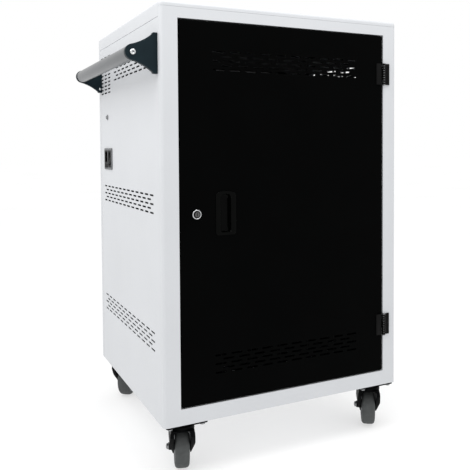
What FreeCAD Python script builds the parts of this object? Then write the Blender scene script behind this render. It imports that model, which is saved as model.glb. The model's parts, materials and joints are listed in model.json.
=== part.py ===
import FreeCAD, Part
import os
import re
import Sketcher

# Driving dimensions, in millimetres and degrees
DIMENSIONS = {
    # Cabinet shell
    "cabinet_width": 667,
    "cabinet_depth": 589,
    "cabinet_height": 980,
    "sheet": 1.5,
    "seam_gap": 0.4,
    "bend_radius": 9,
    "cover_edge_radius": 8,
    "cover_skirt": 36,
    "cover_drop": 13,
    "frame_return": 14,
    "rear_wrap": 24,
    "stile_width": 42,
    "rail_height": 38,
    "stop_depth": 22,
    "panel_flange": 18,
    "panel_edge_radius": 1.2,
    "pan_flange": 25,
    # Doors
    "door_gap": 2.5,
    "door_depth": 20,
    "door_corner_radius": 5,
    "door_edge_radius": 2.5,
    # Slot vents
    "slot_length": 29,
    "slot_height": 4.5,
    "slot_pitch": 42,
    "side_slot_pitch": 40,
    "row_pitch": 10.5,
    "vent_rows": 5,
    "door_vent_columns": 10,
    "side_vent_columns": 12,
    "upper_vent_columns": 9,
    "door_vent_inset": 131,
    "side_vent_inset": 59,
    "upper_vent_drop": 120,
    "middle_vent_drop": 467,
    "lower_vent_drop": 795,
    "grille_columns": 3,
    "grille_rows": 11,
    # Fan behind the grille
    "fan_inset": 502,
    "fan_drop": 118,
    "fan_size": 120,
    "fan_depth": 25,
    "fan_bore_radius": 57,
    "fan_hub_radius": 20,
    "fan_blade_clearance": 2,
    "fan_blades": 7,
    "fan_blade_chord": 20,
    "fan_blade_thickness": 2,
    "fan_blade_pitch": 35,
    "fan_shaft_radius": 3,
    "fan_strut": 6,
    "fan_stator_depth": 6,
    # Lock and pull
    "lock_inset": 85,
    "lock_height": 490.5,
    "lock_flange_radius": 11.5,
    "lock_flange_depth": 4,
    "lock_barrel_radius": 9.5,
    "lock_plug_radius": 6,
    "lock_plug_proud": 1,
    "lock_tail_radius": 4,
    "key_slot_width": 1.6,
    "key_slot_height": 8,
    "key_slot_depth": 9,
    "cam_width": 16,
    "cam_heel": 10,
    "cam_reach": 50,
    "cam_thickness": 2.5,
    "cam_clearance": 2.4,
    "cam_nut_radius": 8,
    "cam_nut_depth": 3,
    "pull_inset": 160,
    "pull_width": 53,
    "pull_height": 106,
    "pull_flange_depth": 3,
    "pull_rim": 6,
    "pull_side_rim": 11,
    "pull_wall": 2,
    "pull_depth": 16,
    "pull_top_radius": 11,
    "pull_bottom_radius": 9,
    "pull_cup_radius": 6,
    # Hinges
    "hinge_low": 166,
    "hinge_high": 838.5,
    "hinge_height": 56,
    "frame_leaf_width": 20.5,
    "door_leaf_width": 21.5,
    "leaf_thickness": 3.5,
    "leaf_corner_radius": 3,
    "knuckle_radius": 5,
    "knuckle_gap": 0.4,
    "hinge_pin_radius": 2.5,
    "hinge_cap_radius": 4,
    "hinge_cap_depth": 2,
    "running_clearance": 0.05,
    "fit_clearance": 0.25,
    # Push handle
    "handle_standoff": 58,
    "handle_height": 861,
    "handle_tube_radius": 17,
    "handle_tube_wall": 2,
    "bracket_root": 93,
    "bracket_end_radius": 18,
    "bracket_thickness": 10,
    "bracket_flare": 14,
    "bracket_foot_depth": 12,
    "bracket_horn_radius": 3,
    "bracket_horn_rise": 3.5,
    "front_bracket_inset": 22,
    "rear_bracket_inset": 37,
    "handle_screw_radius": 4,
    "handle_screw_head": 7,
    "handle_screw_head_depth": 4,
    "handle_screw_length": 30,
    "handle_screw_socket": 3,
    "handle_plug_length": 24,
    # Shelves, dividers and wiring partition
    "shelf_inset": 38,
    "first_shelf": 50,
    "shelf_pitch": 295,
    "shelf_flange": 20,
    "bays": 8,
    "divider_thickness": 2,
    "divider_height": 200,
    "divider_setback": 10,
    "divider_corner": 40,
    "partition_inset": 436,
    "cable_slot_width": 560,
    "cable_slot_height": 40,
    "cable_slot_rise": 240,
    "cable_slot_radius": 12,
    # Power strips
    "strip_length": 540,
    "strip_depth": 42,
    "strip_height": 52,
    "strip_rise": 130,
    "strip_edge_radius": 4,
    "outlet_pitch": 62,
    "outlet_recess_width": 34,
    "outlet_recess_height": 28,
    "outlet_recess_depth": 3,
    "blade_slot_width": 2.5,
    "blade_slot_height": 8,
    "blade_slot_depth": 12,
    "blade_slot_spacing": 12.7,
    "earth_hole_radius": 2.6,
    "earth_hole_drop": 8,
    # Power inlet
    "inlet_inset": 476,
    "inlet_height": 615,
    "inlet_width": 84,
    "inlet_tall": 62,
    "inlet_flange_depth": 3,
    "inlet_flange_radius": 4,
    "inlet_body_margin": 5,
    "inlet_body_depth": 36,
    "inlet_socket_width": 24,
    "inlet_socket_tall": 30,
    "inlet_socket_depth": 17,
    "inlet_socket_corner": 6,
    "inlet_column_offset": 18.5,
    "inlet_pin_width": 2,
    "inlet_pin_tall": 4,
    "inlet_pin_length": 13,
    "inlet_pin_spacing": 7,
    "fuse_width": 24,
    "fuse_tall": 10,
    "fuse_depth": 20,
    "fuse_proud": 1.5,
    "fuse_drop": 21,
    "inlet_socket_rise": 6,
    "rocker_width": 22,
    "rocker_tall": 34,
    "rocker_thickness": 9,
    "rocker_pivot_depth": 5,
    "rocker_tilt": 8,
    "rocker_dish": 1.5,
    "rocker_well_depth": 13,
    "rocker_end_gap": 2,
    "rocker_pivot_radius": 2,
    # Breaker reset button
    "breaker_inset": 483,
    "breaker_height": 737,
    "breaker_flange_radius": 8,
    "breaker_flange_depth": 2,
    "breaker_body_radius": 6.5,
    "breaker_body_depth": 30,
    "breaker_button_radius": 4.5,
    "breaker_button_proud": 3,
    "breaker_button_length": 14,
    "breaker_travel": 3,
    # Casters
    "caster_height": 130,
    "caster_side_inset": 59,
    "caster_end_inset": 41,
    "plate_length": 104,
    "plate_width": 80,
    "plate_thickness": 4,
    "plate_corner_radius": 6,
    "bolt_spacing_long": 82,
    "bolt_spacing_short": 60,
    "bolt_radius": 4,
    "bolt_head_radius": 6.5,
    "bolt_head_depth": 5.3,
    "race_radius": 27,
    "race_depth": 6,
    "swivel_gap": 0.4,
    "fork_head_radius": 30,
    "fork_wall": 3,
    "fork_width": 62,
    "fork_side_gap": 2.5,
    "fork_front": 31,
    "fork_rear": 40,
    "fork_end_radius": 16,
    "fork_tip_width": 2,
    "fork_bend_radius": 7,
    "fork_neck_depth": 8,
    "kingpin_radius": 7,
    "wheel_radius": 51,
    "wheel_width": 35,
    "wheel_trail": 28,
    "tread_depth": 11,
    "tread_crown": 5,
    "rim_depth": 5,
    "web_thickness": 9,
    "hub_radius": 15,
    "hub_end_radius": 8,
    "hub_gap": 0.6,
    "axle_radius": 5,
    "axle_head_radius": 7.5,
    "axle_head_depth": 5,
    "front_left_swivel": 17,
    "front_right_swivel": 33,
    "rear_left_swivel": 36,
    "rear_right_swivel": 31,
    # Brake pedals on the front casters
    "pedal_pivot_reach": 60,
    "pedal_pivot_height": 98,
    "pedal_pivot_radius": 3,
    "pedal_barrel_radius": 5,
    "pedal_width": 38,
    "pedal_length": 46,
    "pedal_thickness": 3,
    "pedal_toe": 10,
}

# Places that follow from the driving dimensions
PLACES = {
    "left": "-cabinet_width / 2",
    "right": "cabinet_width / 2",
    "front": "-cabinet_depth / 2",
    "rear": "cabinet_depth / 2",
    "base": "caster_height",
    "top": "base + cabinet_height",
    "frame_top": "top - cover_drop - seam_gap",
    "panel_top": "top - cover_skirt - seam_gap",
    "panel_front": "front + frame_return + seam_gap",
    "panel_rear": "rear - rear_wrap - seam_gap",
    "inner_left": "left + sheet + seam_gap",
    "inner_width": "cabinet_width - 2 * sheet - 2 * seam_gap",
    "pan_front": "panel_front + sheet + seam_gap",
    "pan_depth": "panel_rear - sheet - seam_gap - pan_front",
    "opening_left": "left + stile_width",
    "opening_width": "cabinet_width - 2 * stile_width",
    "opening_base": "base + rail_height",
    "opening_height": "cabinet_height - 2 * rail_height",
    "rear_opening_height": "panel_top - rail_height - opening_base",
    "door_left": "opening_left + door_gap",
    "door_width": "opening_width - 2 * door_gap",
    "door_base": "opening_base + door_gap",
    "door_height": "opening_height - 2 * door_gap",
    "rear_door_height": "rear_opening_height - 2 * door_gap",
    "hinge_x": "opening_left + opening_width - door_gap / 2",
    "hinge_y": "front - knuckle_radius - knuckle_gap",
    "lock_x": "left + lock_inset",
    "lock_z": "base + lock_height",
    "cam_y": "front + stop_depth + cam_clearance",
    "pull_x": "left + pull_inset",
    "handle_x": "left - handle_standoff",
    "handle_z": "base + handle_height",
    "shelf_front": "front + shelf_inset",
    "partition_front": "front + partition_inset",
    "partition_rear": "partition_front + sheet",
    "shelf_depth": "partition_front - seam_gap - shelf_front",
    "shelf_z": "base + first_shelf",
    "bay_pitch": "inner_width / bays",
    "fan_y": "front + fan_inset",
    "fan_z": "top - fan_drop",
    "inlet_y": "front + inlet_inset",
    "inlet_z": "base + inlet_height",
    "breaker_y": "front + breaker_inset",
    "breaker_z": "base + breaker_height",
    "plate_base": "caster_height - plate_thickness",
    "race_base": "plate_base - race_depth",
    "fork_top": "race_base - swivel_gap",
    "fork_crown": "fork_top - fork_neck_depth",
    "leg_outer": "fork_width / 2",
    "leg_inner": "wheel_width / 2 + fork_side_gap",
    "fork_foot": "wheel_radius - fork_end_radius",
    "fork_knee": "wheel_radius - axle_head_radius - swivel_gap",
}

doc = FreeCAD.newDocument("laptop_charging_cart")
sizes = doc.addObject("Spreadsheet::Sheet", "sizes")
places = doc.addObject("Spreadsheet::Sheet", "places")
WORD = re.compile(r"[A-Za-z_]+")


def bound(text):
    """Turn plain names in a formula into references to the two sheets."""
    def refer(match):
        word = match.group(0)
        if word in DIMENSIONS:
            return "sizes." + word
        if word in PLACES:
            return "places." + word
        return word
    return WORD.sub(refer, str(text))


def fill_sheets():
    """Write the driving numbers in one sheet and the derived places in the other."""
    for row, (alias, number) in enumerate(DIMENSIONS.items(), 1):
        sizes.set(f"A{row}", alias)
        sizes.set(f"B{row}", str(number))
        sizes.setAlias(f"B{row}", alias)
    doc.recompute()
    for row, (alias, formula) in enumerate(PLACES.items(), 1):
        places.set(f"A{row}", alias)
        places.set(f"B{row}", "=" + bound(formula))
        places.setAlias(f"B{row}", alias)
    doc.recompute()


def number(formula):
    """Work out a formula of sheet names as a plain number."""
    values = {name: float(sizes.get(name)) for name in WORD.findall(formula) if name in DIMENSIONS}
    values.update({name: float(places.get(name)) for name in WORD.findall(formula) if name in PLACES})
    probe = WORD.sub(lambda match: repr(values[match.group(0)]), formula)
    return float(FreeCAD.Units.Quantity(probe).Value)


fill_sheets()
AXES = {"X": FreeCAD.Vector(1, 0, 0), "Y": FreeCAD.Vector(0, 1, 0), "Z": FreeCAD.Vector(0, 0, 1)}
TURN_TO_AXIS = {
    "X": FreeCAD.Rotation(AXES["Y"], 90),
    "Y": FreeCAD.Rotation(AXES["X"], -90),
    "Z": FreeCAD.Rotation(),
}
HALF_TURN = FreeCAD.Rotation(AXES["Z"], 180)
SHELF_NAMES = ("lower", "middle", "upper")
subparts = []


def bind(item, **formulas):
    """Bind properties of a document object to formulas of sheet names."""
    for name, formula in formulas.items():
        item.setExpression(name, bound(formula))


def bind_place(item, at):
    """Bind the position of a document object to three formulas."""
    for letter, formula in zip("xyz", at):
        item.setExpression("Placement.Base." + letter, bound(formula))


def keep(item, label):
    """Register a finished document object as a sub-part under its own name."""
    item.Label = label
    subparts.append(item)


class Piece:
    """A body that grows feature by feature, each bound to the sheets."""

    def __init__(self, name):
        self.name = name
        self.body = doc.addObject("PartDesign::Body", name)
        self.body.AllowCompound = True
        self.origin = {part.Role: part for part in self.body.Origin.OriginFeatures}

    def feature(self, kind):
        """Add a feature of the given kind to the body."""
        return self.body.newObject("PartDesign::" + kind, self.name + "_" + kind.lower())

    def box(self, at, size, cut=False, turn=None):
        """Add or cut a block with its low corner at a place."""
        item = self.feature("SubtractiveBox" if cut else "AdditiveBox")
        bind(item, Length=size[0], Width=size[1], Height=size[2])
        if turn:
            item.Placement.Rotation = FreeCAD.Rotation(AXES[turn[0]], number(turn[1]))
        bind_place(item, at)
        return item

    def rod(self, axis, at, radius, length, cut=False):
        """Add or cut a cylinder that runs along an axis from a place."""
        item = self.feature("SubtractiveCylinder" if cut else "AdditiveCylinder")
        bind(item, Radius=radius, Height=length)
        item.Placement.Rotation = TURN_TO_AXIS[axis]
        bind_place(item, at)
        return item

    def outline(self, plane, points):
        """Draw a closed polygon whose corners are bound to the sheets."""
        sketch = self.body.newObject("Sketcher::SketchObject", self.name + "_outline")
        sketch.AttachmentSupport = (self.origin[plane], [""])
        sketch.MapMode = "FlatFace"
        spots = [FreeCAD.Vector(number(u), number(v), 0) for u, v in points]
        count = len(points)
        for index in range(count):
            sketch.addGeometry(Part.LineSegment(spots[index], spots[(index + 1) % count]))
        for index in range(count):
            after = (index + 1) % count
            sketch.addConstraint(Sketcher.Constraint("Coincident", index, 2, after, 1))
        for index, corner in enumerate(points):
            for kind, formula, value in zip(("DistanceX", "DistanceY"), corner, spots[index]):
                mark = sketch.addConstraint(Sketcher.Constraint(kind, -1, 1, index, 1, value))
                sketch.setExpression(f"Constraints[{mark}]", bound(formula))
        return sketch

    def pad(self, plane, points, length):
        """Pad a polygon by a length, half to each side of its plane."""
        item = self.feature("Pad")
        item.Profile = self.outline(plane, points)
        item.SideType = "Symmetric"
        bind(item, Length=length)
        return item

    def spin(self, plane, points):
        """Turn a polygon about the horizontal axis of its plane."""
        sketch = self.outline(plane, points)
        item = self.feature("Revolution")
        item.Profile = sketch
        item.ReferenceAxis = (sketch, ["H_Axis"])
        item.Angle = 360
        return item

    def round(self, radius, pick):
        """Fillet the edges of the last feature that a test picks."""
        doc.recompute()
        last = self.body.Tip
        names = [f"Edge{n}" for n, edge in enumerate(last.Shape.Edges, 1) if pick(edge)]
        item = self.feature("Fillet")
        item.Base = (last, names)
        bind(item, Radius=radius)
        return item

    def hollow(self, wall, pick):
        """Leave a wall of even thickness, open at the faces that a test picks."""
        doc.recompute()
        last = self.body.Tip
        names = [f"Face{n}" for n, face in enumerate(last.Shape.Faces, 1) if pick(face)]
        item = self.feature("Thickness")
        item.Base = (last, names)
        item.Reversed = True
        bind(item, Value=wall)
        return item

    def repeat(self, originals, *rows):
        """Repeat features in one or two directions, each (axis, spacing, count)."""
        item = self.feature("LinearPattern")
        item.Originals = originals
        for suffix, (axis, spacing, count) in zip(("", "2"), rows):
            setattr(item, "Direction" + suffix, (self.origin[axis + "_Axis"], [""]))
            setattr(item, "Mode" + suffix, "Spacing")
            item.setExpression("Offset" + suffix, bound(spacing))
            item.setExpression("Occurrences" + suffix, bound(count))
        self.body.Tip = item
        return item

    def ring(self, originals, axis, count):
        """Repeat features evenly round an axis of the body."""
        item = self.feature("PolarPattern")
        item.Originals = originals
        item.Axis = (self.origin[axis + "_Axis"], [""])
        item.Angle = 360
        bind(item, Occurrences=count)
        self.body.Tip = item
        return item

    def keep(self):
        """Finish the body as a sub-part."""
        keep(self.body, self.name)


def near(one, other):
    """Say whether two lengths agree."""
    return abs(one - other) < 0.01


def along(axis, **fixed):
    """Pick straight edges along an axis that lie at given coordinates."""
    goals = {letter: number(formula) for letter, formula in fixed.items()}

    def pick(edge):
        if len(edge.Vertexes) != 2 or edge.Curve.TypeId != "Part::GeomLine":
            return False
        first, last = (vertex.Point for vertex in edge.Vertexes)
        heading = last.sub(first).normalize()
        if abs(heading.dot(AXES[axis])) < 0.999:
            return False
        return all(near(getattr(first, letter), goal) for letter, goal in goals.items())
    return pick


def either(*picks):
    """Pick what any of several tests picks."""
    return lambda shape: any(pick(shape) for pick in picks)


def face_at(letter, formula):
    """Pick flat faces that lie at one coordinate."""
    goal = number(formula)

    def pick(face):
        box = face.BoundBox
        return near(getattr(box, letter + "Min"), goal) and near(getattr(box, letter + "Max"), goal)
    return pick


def loop_at(letter, formula):
    """Pick every edge that lies wholly at one coordinate."""
    return face_at(letter, formula)


def cut_from(base, tool, label):
    """Cut a tool from a base and keep the result as a sub-part."""
    item = doc.addObject("Part::Cut", label)
    item.Base = base
    item.Tool = tool
    item.Refine = False
    keep(item, label)
    return item


def slot_prism(axis, centre):
    """One obround slot through the sheet, long in the level direction."""
    half = number("slot_length") / 2
    radius = number("slot_height") / 2
    reach = number("panel_flange")
    run = half - radius
    level = AXES["Y"] if axis == "X" else AXES["X"]
    rise = AXES["Z"]
    a, b = centre - level * run + rise * radius, centre + level * run + rise * radius
    c, d = centre + level * run - rise * radius, centre - level * run - rise * radius
    edges = [
        Part.makeLine(a, b),
        Part.Arc(b, centre + level * half, c).toShape(),
        Part.makeLine(c, d),
        Part.Arc(d, centre - level * half, a).toShape(),
    ]
    face = Part.Face(Part.Wire(edges))
    face.translate(AXES[axis] * -reach)
    return face.extrude(AXES[axis] * (2 * reach))


def vent_slots(axis, centre, columns, rows, staggered=True):
    """A field of slots about a centre; every other row shifts half a pitch and drops one slot."""
    level = AXES["Y"] if axis == "X" else AXES["X"]
    pitch = number("side_slot_pitch" if axis == "X" else "slot_pitch")
    slots = []
    for row in range(rows):
        count = columns - 1 if staggered and row % 2 else columns
        height = (rows - 1) / 2 - row
        for column in range(count):
            across = (column - (count - 1) / 2) * pitch
            slots.append(slot_prism(axis, centre + level * across + AXES["Z"] * height * number("row_pitch")))
    return slots


def slot_tool(name, slots):
    """Hold a field of slots as one cutting shape."""
    item = doc.addObject("Part::Feature", name)
    item.Shape = Part.Compound(slots)
    return item


def turned_to_rear(piece, label):
    """Keep a copy of a front piece, turned about the upright axis to face the rear."""
    doc.recompute()
    twin = doc.addObject("Part::Feature", label)
    twin.Shape = piece.body.Shape.copy()
    twin.Placement = FreeCAD.Placement(FreeCAD.Vector(), HALF_TURN)
    keep(twin, label)


def row_of(piece, label, steps):
    """Keep several alike pieces, each moved by a step, as one sub-part of separate solids."""
    doc.recompute()
    solids = []
    for step in steps:
        shape = piece.body.Shape.copy()
        shape.translate(step)
        solids += shape.Solids
    group = doc.addObject("Part::Feature", label)
    group.Shape = Part.Compound(solids)
    keep(group, label)


def front_and_rear(piece, label):
    """Keep a front piece and its copy turned to the rear as one sub-part."""
    doc.recompute()
    turned = piece.body.Shape.copy()
    turned.rotate(FreeCAD.Vector(0, 0, 0), AXES["Z"], 180)
    group = doc.addObject("Part::Feature", label)
    group.Shape = Part.Compound(piece.body.Shape.Solids + turned.Solids)
    keep(group, label)


# Top cover: a folded lid with rounded corners and a rolled front edge
def make_top_cover():
    cover = Piece("top_cover")
    cover.box(("left", "front", "top - cover_skirt"), ("cabinet_width", "cabinet_depth", "cover_skirt"))
    cover.round("bend_radius", along("Z"))
    cover.round("cover_edge_radius", loop_at("Z", "top"))
    cover.hollow("sheet", face_at("Z", "top - cover_skirt"))
    cover.box(
        ("left - sheet", "front - sheet", "top - cover_skirt"),
        ("cabinet_width + 2 * sheet", "frame_return + seam_gap + sheet", "cover_skirt - cover_drop"),
        cut=True,
    )
    cover.keep()


def make_frame(name, low_y, depth, face_y, stop_y, height, opening_height):
    """A welded picture frame: face, bent outer returns and a door stop round the opening."""
    frame = Piece(name)
    frame.box(("left", low_y, "base"), ("cabinet_width", depth, height))
    frame.round("bend_radius", along("Z", y=face_y))
    open_y = f"{low_y} + {depth}" if face_y == low_y else low_y
    frame.hollow("sheet", face_at("Y", open_y))
    frame.box(
        ("opening_left - sheet", stop_y, "opening_base - sheet"),
        ("opening_width + 2 * sheet", "stop_depth", opening_height + " + 2 * sheet"),
    )
    frame.box(
        ("opening_left", stop_y + " - sheet", "opening_base"),
        ("opening_width", "stop_depth + 2 * sheet", opening_height),
        cut=True,
    )
    frame.keep()


def make_side_panel(name, outer_x, low_x):
    """A side sheet with inward flanges along its front, rear and top edges, ready for its vents."""
    panel = Piece(name + "_blank")
    depth = "panel_rear - panel_front"
    panel.box((low_x, "panel_front", "base"), ("panel_flange", depth, "panel_top - base"))
    panel.round("panel_edge_radius", either(
        along("Z", x=outer_x, y="panel_front"), along("Z", x=outer_x, y="panel_rear"),
        along("Y", x=outer_x, z="panel_top")))
    inside = "left + sheet" if low_x == "left" else "right - panel_flange - sheet"
    panel.box(
        (inside, "panel_front + sheet", "base - sheet"),
        ("panel_flange", depth + " - 2 * sheet", "panel_top - base"),
        cut=True,
    )
    return panel


def side_vents(outer_x):
    """Three slot vents down a side sheet."""
    columns, rows = int(number("side_vent_columns")), int(number("vent_rows"))
    upper = int(number("upper_vent_columns"))
    x = number(outer_x)
    start = "front + side_vent_inset"
    middle_y = number(f"{start} + ((side_vent_columns - 1) * side_slot_pitch + slot_length) / 2")
    upper_y = number(f"{start} + ((upper_vent_columns - 1) * side_slot_pitch + slot_length) / 2")
    slots = []
    for drop in ("middle_vent_drop", "lower_vent_drop"):
        slots += vent_slots("X", FreeCAD.Vector(x, middle_y, number("top - " + drop)), columns, rows)
    slots += vent_slots("X", FreeCAD.Vector(x, upper_y, number("top - upper_vent_drop")), upper, rows)
    return slots


def make_left_side():
    panel = make_side_panel("left_side_panel", "left", "left")
    panel.box(
        ("left - sheet", "inlet_y - inlet_width / 2 + inlet_body_margin - fit_clearance",
         "inlet_z - inlet_tall / 2 + inlet_body_margin - fit_clearance"),
        ("3 * sheet", "inlet_width - 2 * inlet_body_margin + 2 * fit_clearance",
         "inlet_tall - 2 * inlet_body_margin + 2 * fit_clearance"),
        cut=True,
    )
    panel.rod("X", ("left - sheet", "breaker_y", "breaker_z"),
              "breaker_body_radius + fit_clearance", "3 * sheet", cut=True)
    grille = vent_slots(
        "X", FreeCAD.Vector(number("left"), number("fan_y"), number("fan_z")),
        int(number("grille_columns")), int(number("grille_rows")), staggered=False)
    cut_from(panel.body, slot_tool("left_side_slots", side_vents("left") + grille), "left_side_panel")


def make_right_side():
    panel = make_side_panel("right_side_panel", "right", "right - panel_flange")
    cut_from(panel.body, slot_tool("right_side_slots", side_vents("right")), "right_side_panel")


def make_base_pan():
    pan = Piece("base_pan")
    pan.box(("inner_left", "pan_front", "base"), ("inner_width", "pan_depth", "pan_flange"))
    pan.box(
        ("inner_left + sheet", "pan_front + sheet", "base + sheet"),
        ("inner_width - 2 * sheet", "pan_depth - 2 * sheet", "pan_flange"),
        cut=True,
    )
    pan.keep()


# Doors: a folded tray each, with slot vents at top and bottom and a lock hole
def make_door(name, height, with_pull, turn):
    door = Piece(name + "_blank")
    door.box(("door_left", "front", "door_base"), ("door_width", "door_depth", height))
    door.round("door_corner_radius", along("Y"))
    door.hollow("sheet", face_at("Y", "front + door_depth"))
    door.round("door_edge_radius", loop_at("Y", "front"))
    door.rod("Y", ("lock_x", "front - sheet", "lock_z"), "lock_barrel_radius + fit_clearance", "3 * sheet",
             cut=True)
    if with_pull:
        door.box(
            ("pull_x - pull_width / 2 + pull_side_rim - fit_clearance", "front - sheet",
             "lock_z - pull_height / 2 + pull_rim - fit_clearance"),
            ("pull_width - 2 * pull_side_rim + 2 * fit_clearance", "3 * sheet",
             "pull_height - 2 * pull_rim + 2 * fit_clearance"),
            cut=True,
        )
    columns, rows = int(number("door_vent_columns")), int(number("vent_rows"))
    y = number("front")
    low = number("base + door_vent_inset")
    high = number("door_base + " + height + " - door_vent_inset + rail_height + door_gap")
    slots = []
    for z in (low, high):
        slots += vent_slots("Y", FreeCAD.Vector(0, y, z), columns, rows)
    cut_from(door.body, slot_tool(name + "_slots", slots), name).Placement.Rotation = turn


def make_pull():
    pull = Piece("door_pull")
    low_z = "lock_z - pull_height / 2"
    pull.box(
        ("pull_x - pull_width / 2", "front - pull_flange_depth", low_z),
        ("pull_width", "pull_flange_depth", "pull_height"))
    pull.round("pull_top_radius", along("Y", z="lock_z + pull_height / 2"))
    pull.round("pull_bottom_radius", along("Y", z=low_z))
    pull.round("pull_flange_depth * 0.6", loop_at("Y", "front - pull_flange_depth"))
    cup_half = "(pull_width / 2 - pull_side_rim - pull_wall)"
    pull.box(
        (f"pull_x - {cup_half} - pull_wall", "front", low_z + " + pull_rim"),
        (f"2 * ({cup_half} + pull_wall)", "pull_depth", "pull_height - 2 * pull_rim"))
    pull.box(
        (f"pull_x - {cup_half}", "front - 2 * pull_flange_depth", low_z + " + pull_rim + pull_wall"),
        (f"2 * {cup_half}", "2 * pull_flange_depth + pull_depth - pull_wall",
         "pull_height - 2 * pull_rim - 2 * pull_wall"),
        cut=True)
    pull.round("pull_cup_radius", either(
        along("Y", x=f"pull_x - {cup_half}"), along("Y", x=f"pull_x + {cup_half}")))
    pull.keep()


def make_hinge_leaves(label, side):
    """Two hinge leaves: the frame's with the outer knuckles, the door's with the middle one."""
    leaf = Piece(label)
    third = "(hinge_height - 2 * knuckle_gap) / 3"
    start_x = "hinge_x + knuckle_radius + knuckle_gap"
    width = "frame_leaf_width - knuckle_radius - knuckle_gap"
    if side < 0:
        start_x = "hinge_x - door_leaf_width"
        width = "door_leaf_width - knuckle_radius - knuckle_gap"
    levels = ("0", "2 * (" + third + " + knuckle_gap)") if side > 0 else (third + " + knuckle_gap",)
    for centre in ("hinge_low", "hinge_high"):
        low_z = f"base + {centre} - hinge_height / 2"
        leaf.box((start_x, "front - leaf_thickness", low_z), (width, "leaf_thickness", "hinge_height"))
        outer_x = f"{start_x} + {width}" if side > 0 else start_x
        leaf.round("leaf_corner_radius", either(
            along("Y", x=outer_x, z=low_z), along("Y", x=outer_x, z=f"{low_z} + hinge_height")))
        for level in levels:
            z = f"{low_z} + {level}"
            leaf.rod("Z", ("hinge_x", "hinge_y", z), "knuckle_radius", third)
            tie_x = "hinge_x" if side > 0 else "hinge_x - knuckle_radius - 2 * knuckle_gap"
            leaf.box((tie_x, "front - leaf_thickness", z),
                     ("knuckle_radius + 2 * knuckle_gap", "leaf_thickness - running_clearance", third))
        leaf.rod("Z", ("hinge_x", "hinge_y", low_z), "hinge_pin_radius + running_clearance", "hinge_height",
                 cut=True)
    return leaf


def make_hinges():
    front_and_rear(make_hinge_leaves("frame_hinge_leaf", 1), "frame_hinge_leaves")
    door_leaves = make_hinge_leaves("front_door_hinge_leaves", -1)
    door_leaves.keep()
    turned_to_rear(door_leaves, "rear_door_hinge_leaves")
    pins = Piece("hinge_pin")
    for centre in ("hinge_low", "hinge_high"):
        low_z = f"base + {centre} - hinge_height / 2"
        pins.rod("Z", ("hinge_x", "hinge_y", low_z), "hinge_pin_radius", "hinge_height")
        for z in (low_z + " - hinge_cap_depth", low_z + " + hinge_height"):
            pins.rod("Z", ("hinge_x", "hinge_y", z), "hinge_cap_radius", "hinge_cap_depth")
    front_and_rear(pins, "hinge_pins")


def make_locks():
    housing = Piece("front_lock_housing")
    housing.rod("Y", ("lock_x", "front - lock_flange_depth", "lock_z"), "lock_flange_radius",
                "lock_flange_depth")
    housing.round("lock_flange_depth / 3", loop_at("Y", "front - lock_flange_depth"))
    housing.rod("Y", ("lock_x", "front", "lock_z"), "lock_barrel_radius", "stop_depth + cam_clearance / 2")
    housing.rod("Y", ("lock_x", "front - 2 * lock_flange_depth", "lock_z"),
                "lock_plug_radius + running_clearance", "stop_depth + 4 * lock_flange_depth", cut=True)
    housing.keep()
    plug = Piece("front_lock_plug")
    plug.rod("Y", ("lock_x", "front - lock_flange_depth - lock_plug_proud", "lock_z"), "lock_plug_radius",
             "lock_flange_depth + lock_plug_proud + stop_depth + cam_clearance")
    plug.rod("Y", ("lock_x", "cam_y", "lock_z"), "lock_tail_radius", "cam_thickness + cam_nut_depth + sheet")
    plug.box(("lock_x - key_slot_width / 2", "front - lock_flange_depth - lock_plug_proud",
              "lock_z - key_slot_height / 2"),
             ("key_slot_width", "key_slot_depth", "key_slot_height"), cut=True)
    plug.keep()
    cam = Piece("front_lock_cam")
    cam.box(("lock_x - cam_width / 2", "cam_y", "lock_z - cam_reach"),
            ("cam_width", "cam_thickness", "cam_reach + cam_heel"))
    cam.round("cam_width / 3", along("Y"))
    cam.rod("Y", ("lock_x", "cam_y + cam_thickness", "lock_z"), "cam_nut_radius", "cam_nut_depth")
    cam.rod("Y", ("lock_x", "cam_y - sheet", "lock_z"), "lock_tail_radius + running_clearance",
            "cam_thickness + cam_nut_depth + 2 * sheet", cut=True)
    cam.keep()
    for piece, label in ((housing, "rear_lock_housing"), (plug, "rear_lock_plug"), (cam, "rear_lock_cam")):
        turned_to_rear(piece, label)


# Push handle: a tube held between two concave arms
def make_bracket(label, centre_y):
    """An arm whose concave edges leave the round end at a tangent and rise to the horns of its foot."""
    arm = Piece(label)
    low_y = f"{centre_y} - bracket_thickness / 2"
    reach = "(handle_standoff - bracket_foot_depth)"
    rise = "(bracket_root / 2 - bracket_horn_rise)"
    lean = f"({rise} * cos(bracket_flare) - {reach} * sin(bracket_flare))"
    radius = (f"(({reach} ^ 2 + {rise} ^ 2 - 2 * bracket_end_radius * {lean} + bracket_end_radius ^ 2)"
              f" / (2 * ({lean} - bracket_end_radius)))")
    shift = "bracket_end_radius * sin(bracket_flare)"
    arm.box((f"handle_x - {shift}", low_y, f"handle_z - {rise}"),
            (f"{reach} + {shift}", "bracket_thickness", f"2 * {rise}"))
    for side in ("+", "-"):
        arm.rod("Y", (f"handle_x - ({radius} + bracket_end_radius) * sin(bracket_flare)", low_y + " - sheet",
                      f"handle_z {side} ({radius} + bracket_end_radius) * cos(bracket_flare)"),
                radius, "bracket_thickness + 2 * sheet", cut=True)
    arm.rod("Y", ("handle_x", low_y, "handle_z"), "bracket_end_radius", "bracket_thickness")
    foot_x = "left - bracket_foot_depth"
    arm.box((foot_x, low_y, "handle_z - bracket_root / 2"),
            ("bracket_foot_depth", "bracket_thickness", "bracket_root"))
    arm.round("bracket_horn_radius", either(
        along("Y", x=foot_x, z="handle_z + bracket_root / 2"),
        along("Y", x=foot_x, z="handle_z - bracket_root / 2")))
    arm.rod("Y", ("handle_x", low_y + " - sheet", "handle_z"), "handle_screw_radius + fit_clearance",
            "bracket_thickness + 2 * sheet", cut=True)
    arm.keep()


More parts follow.
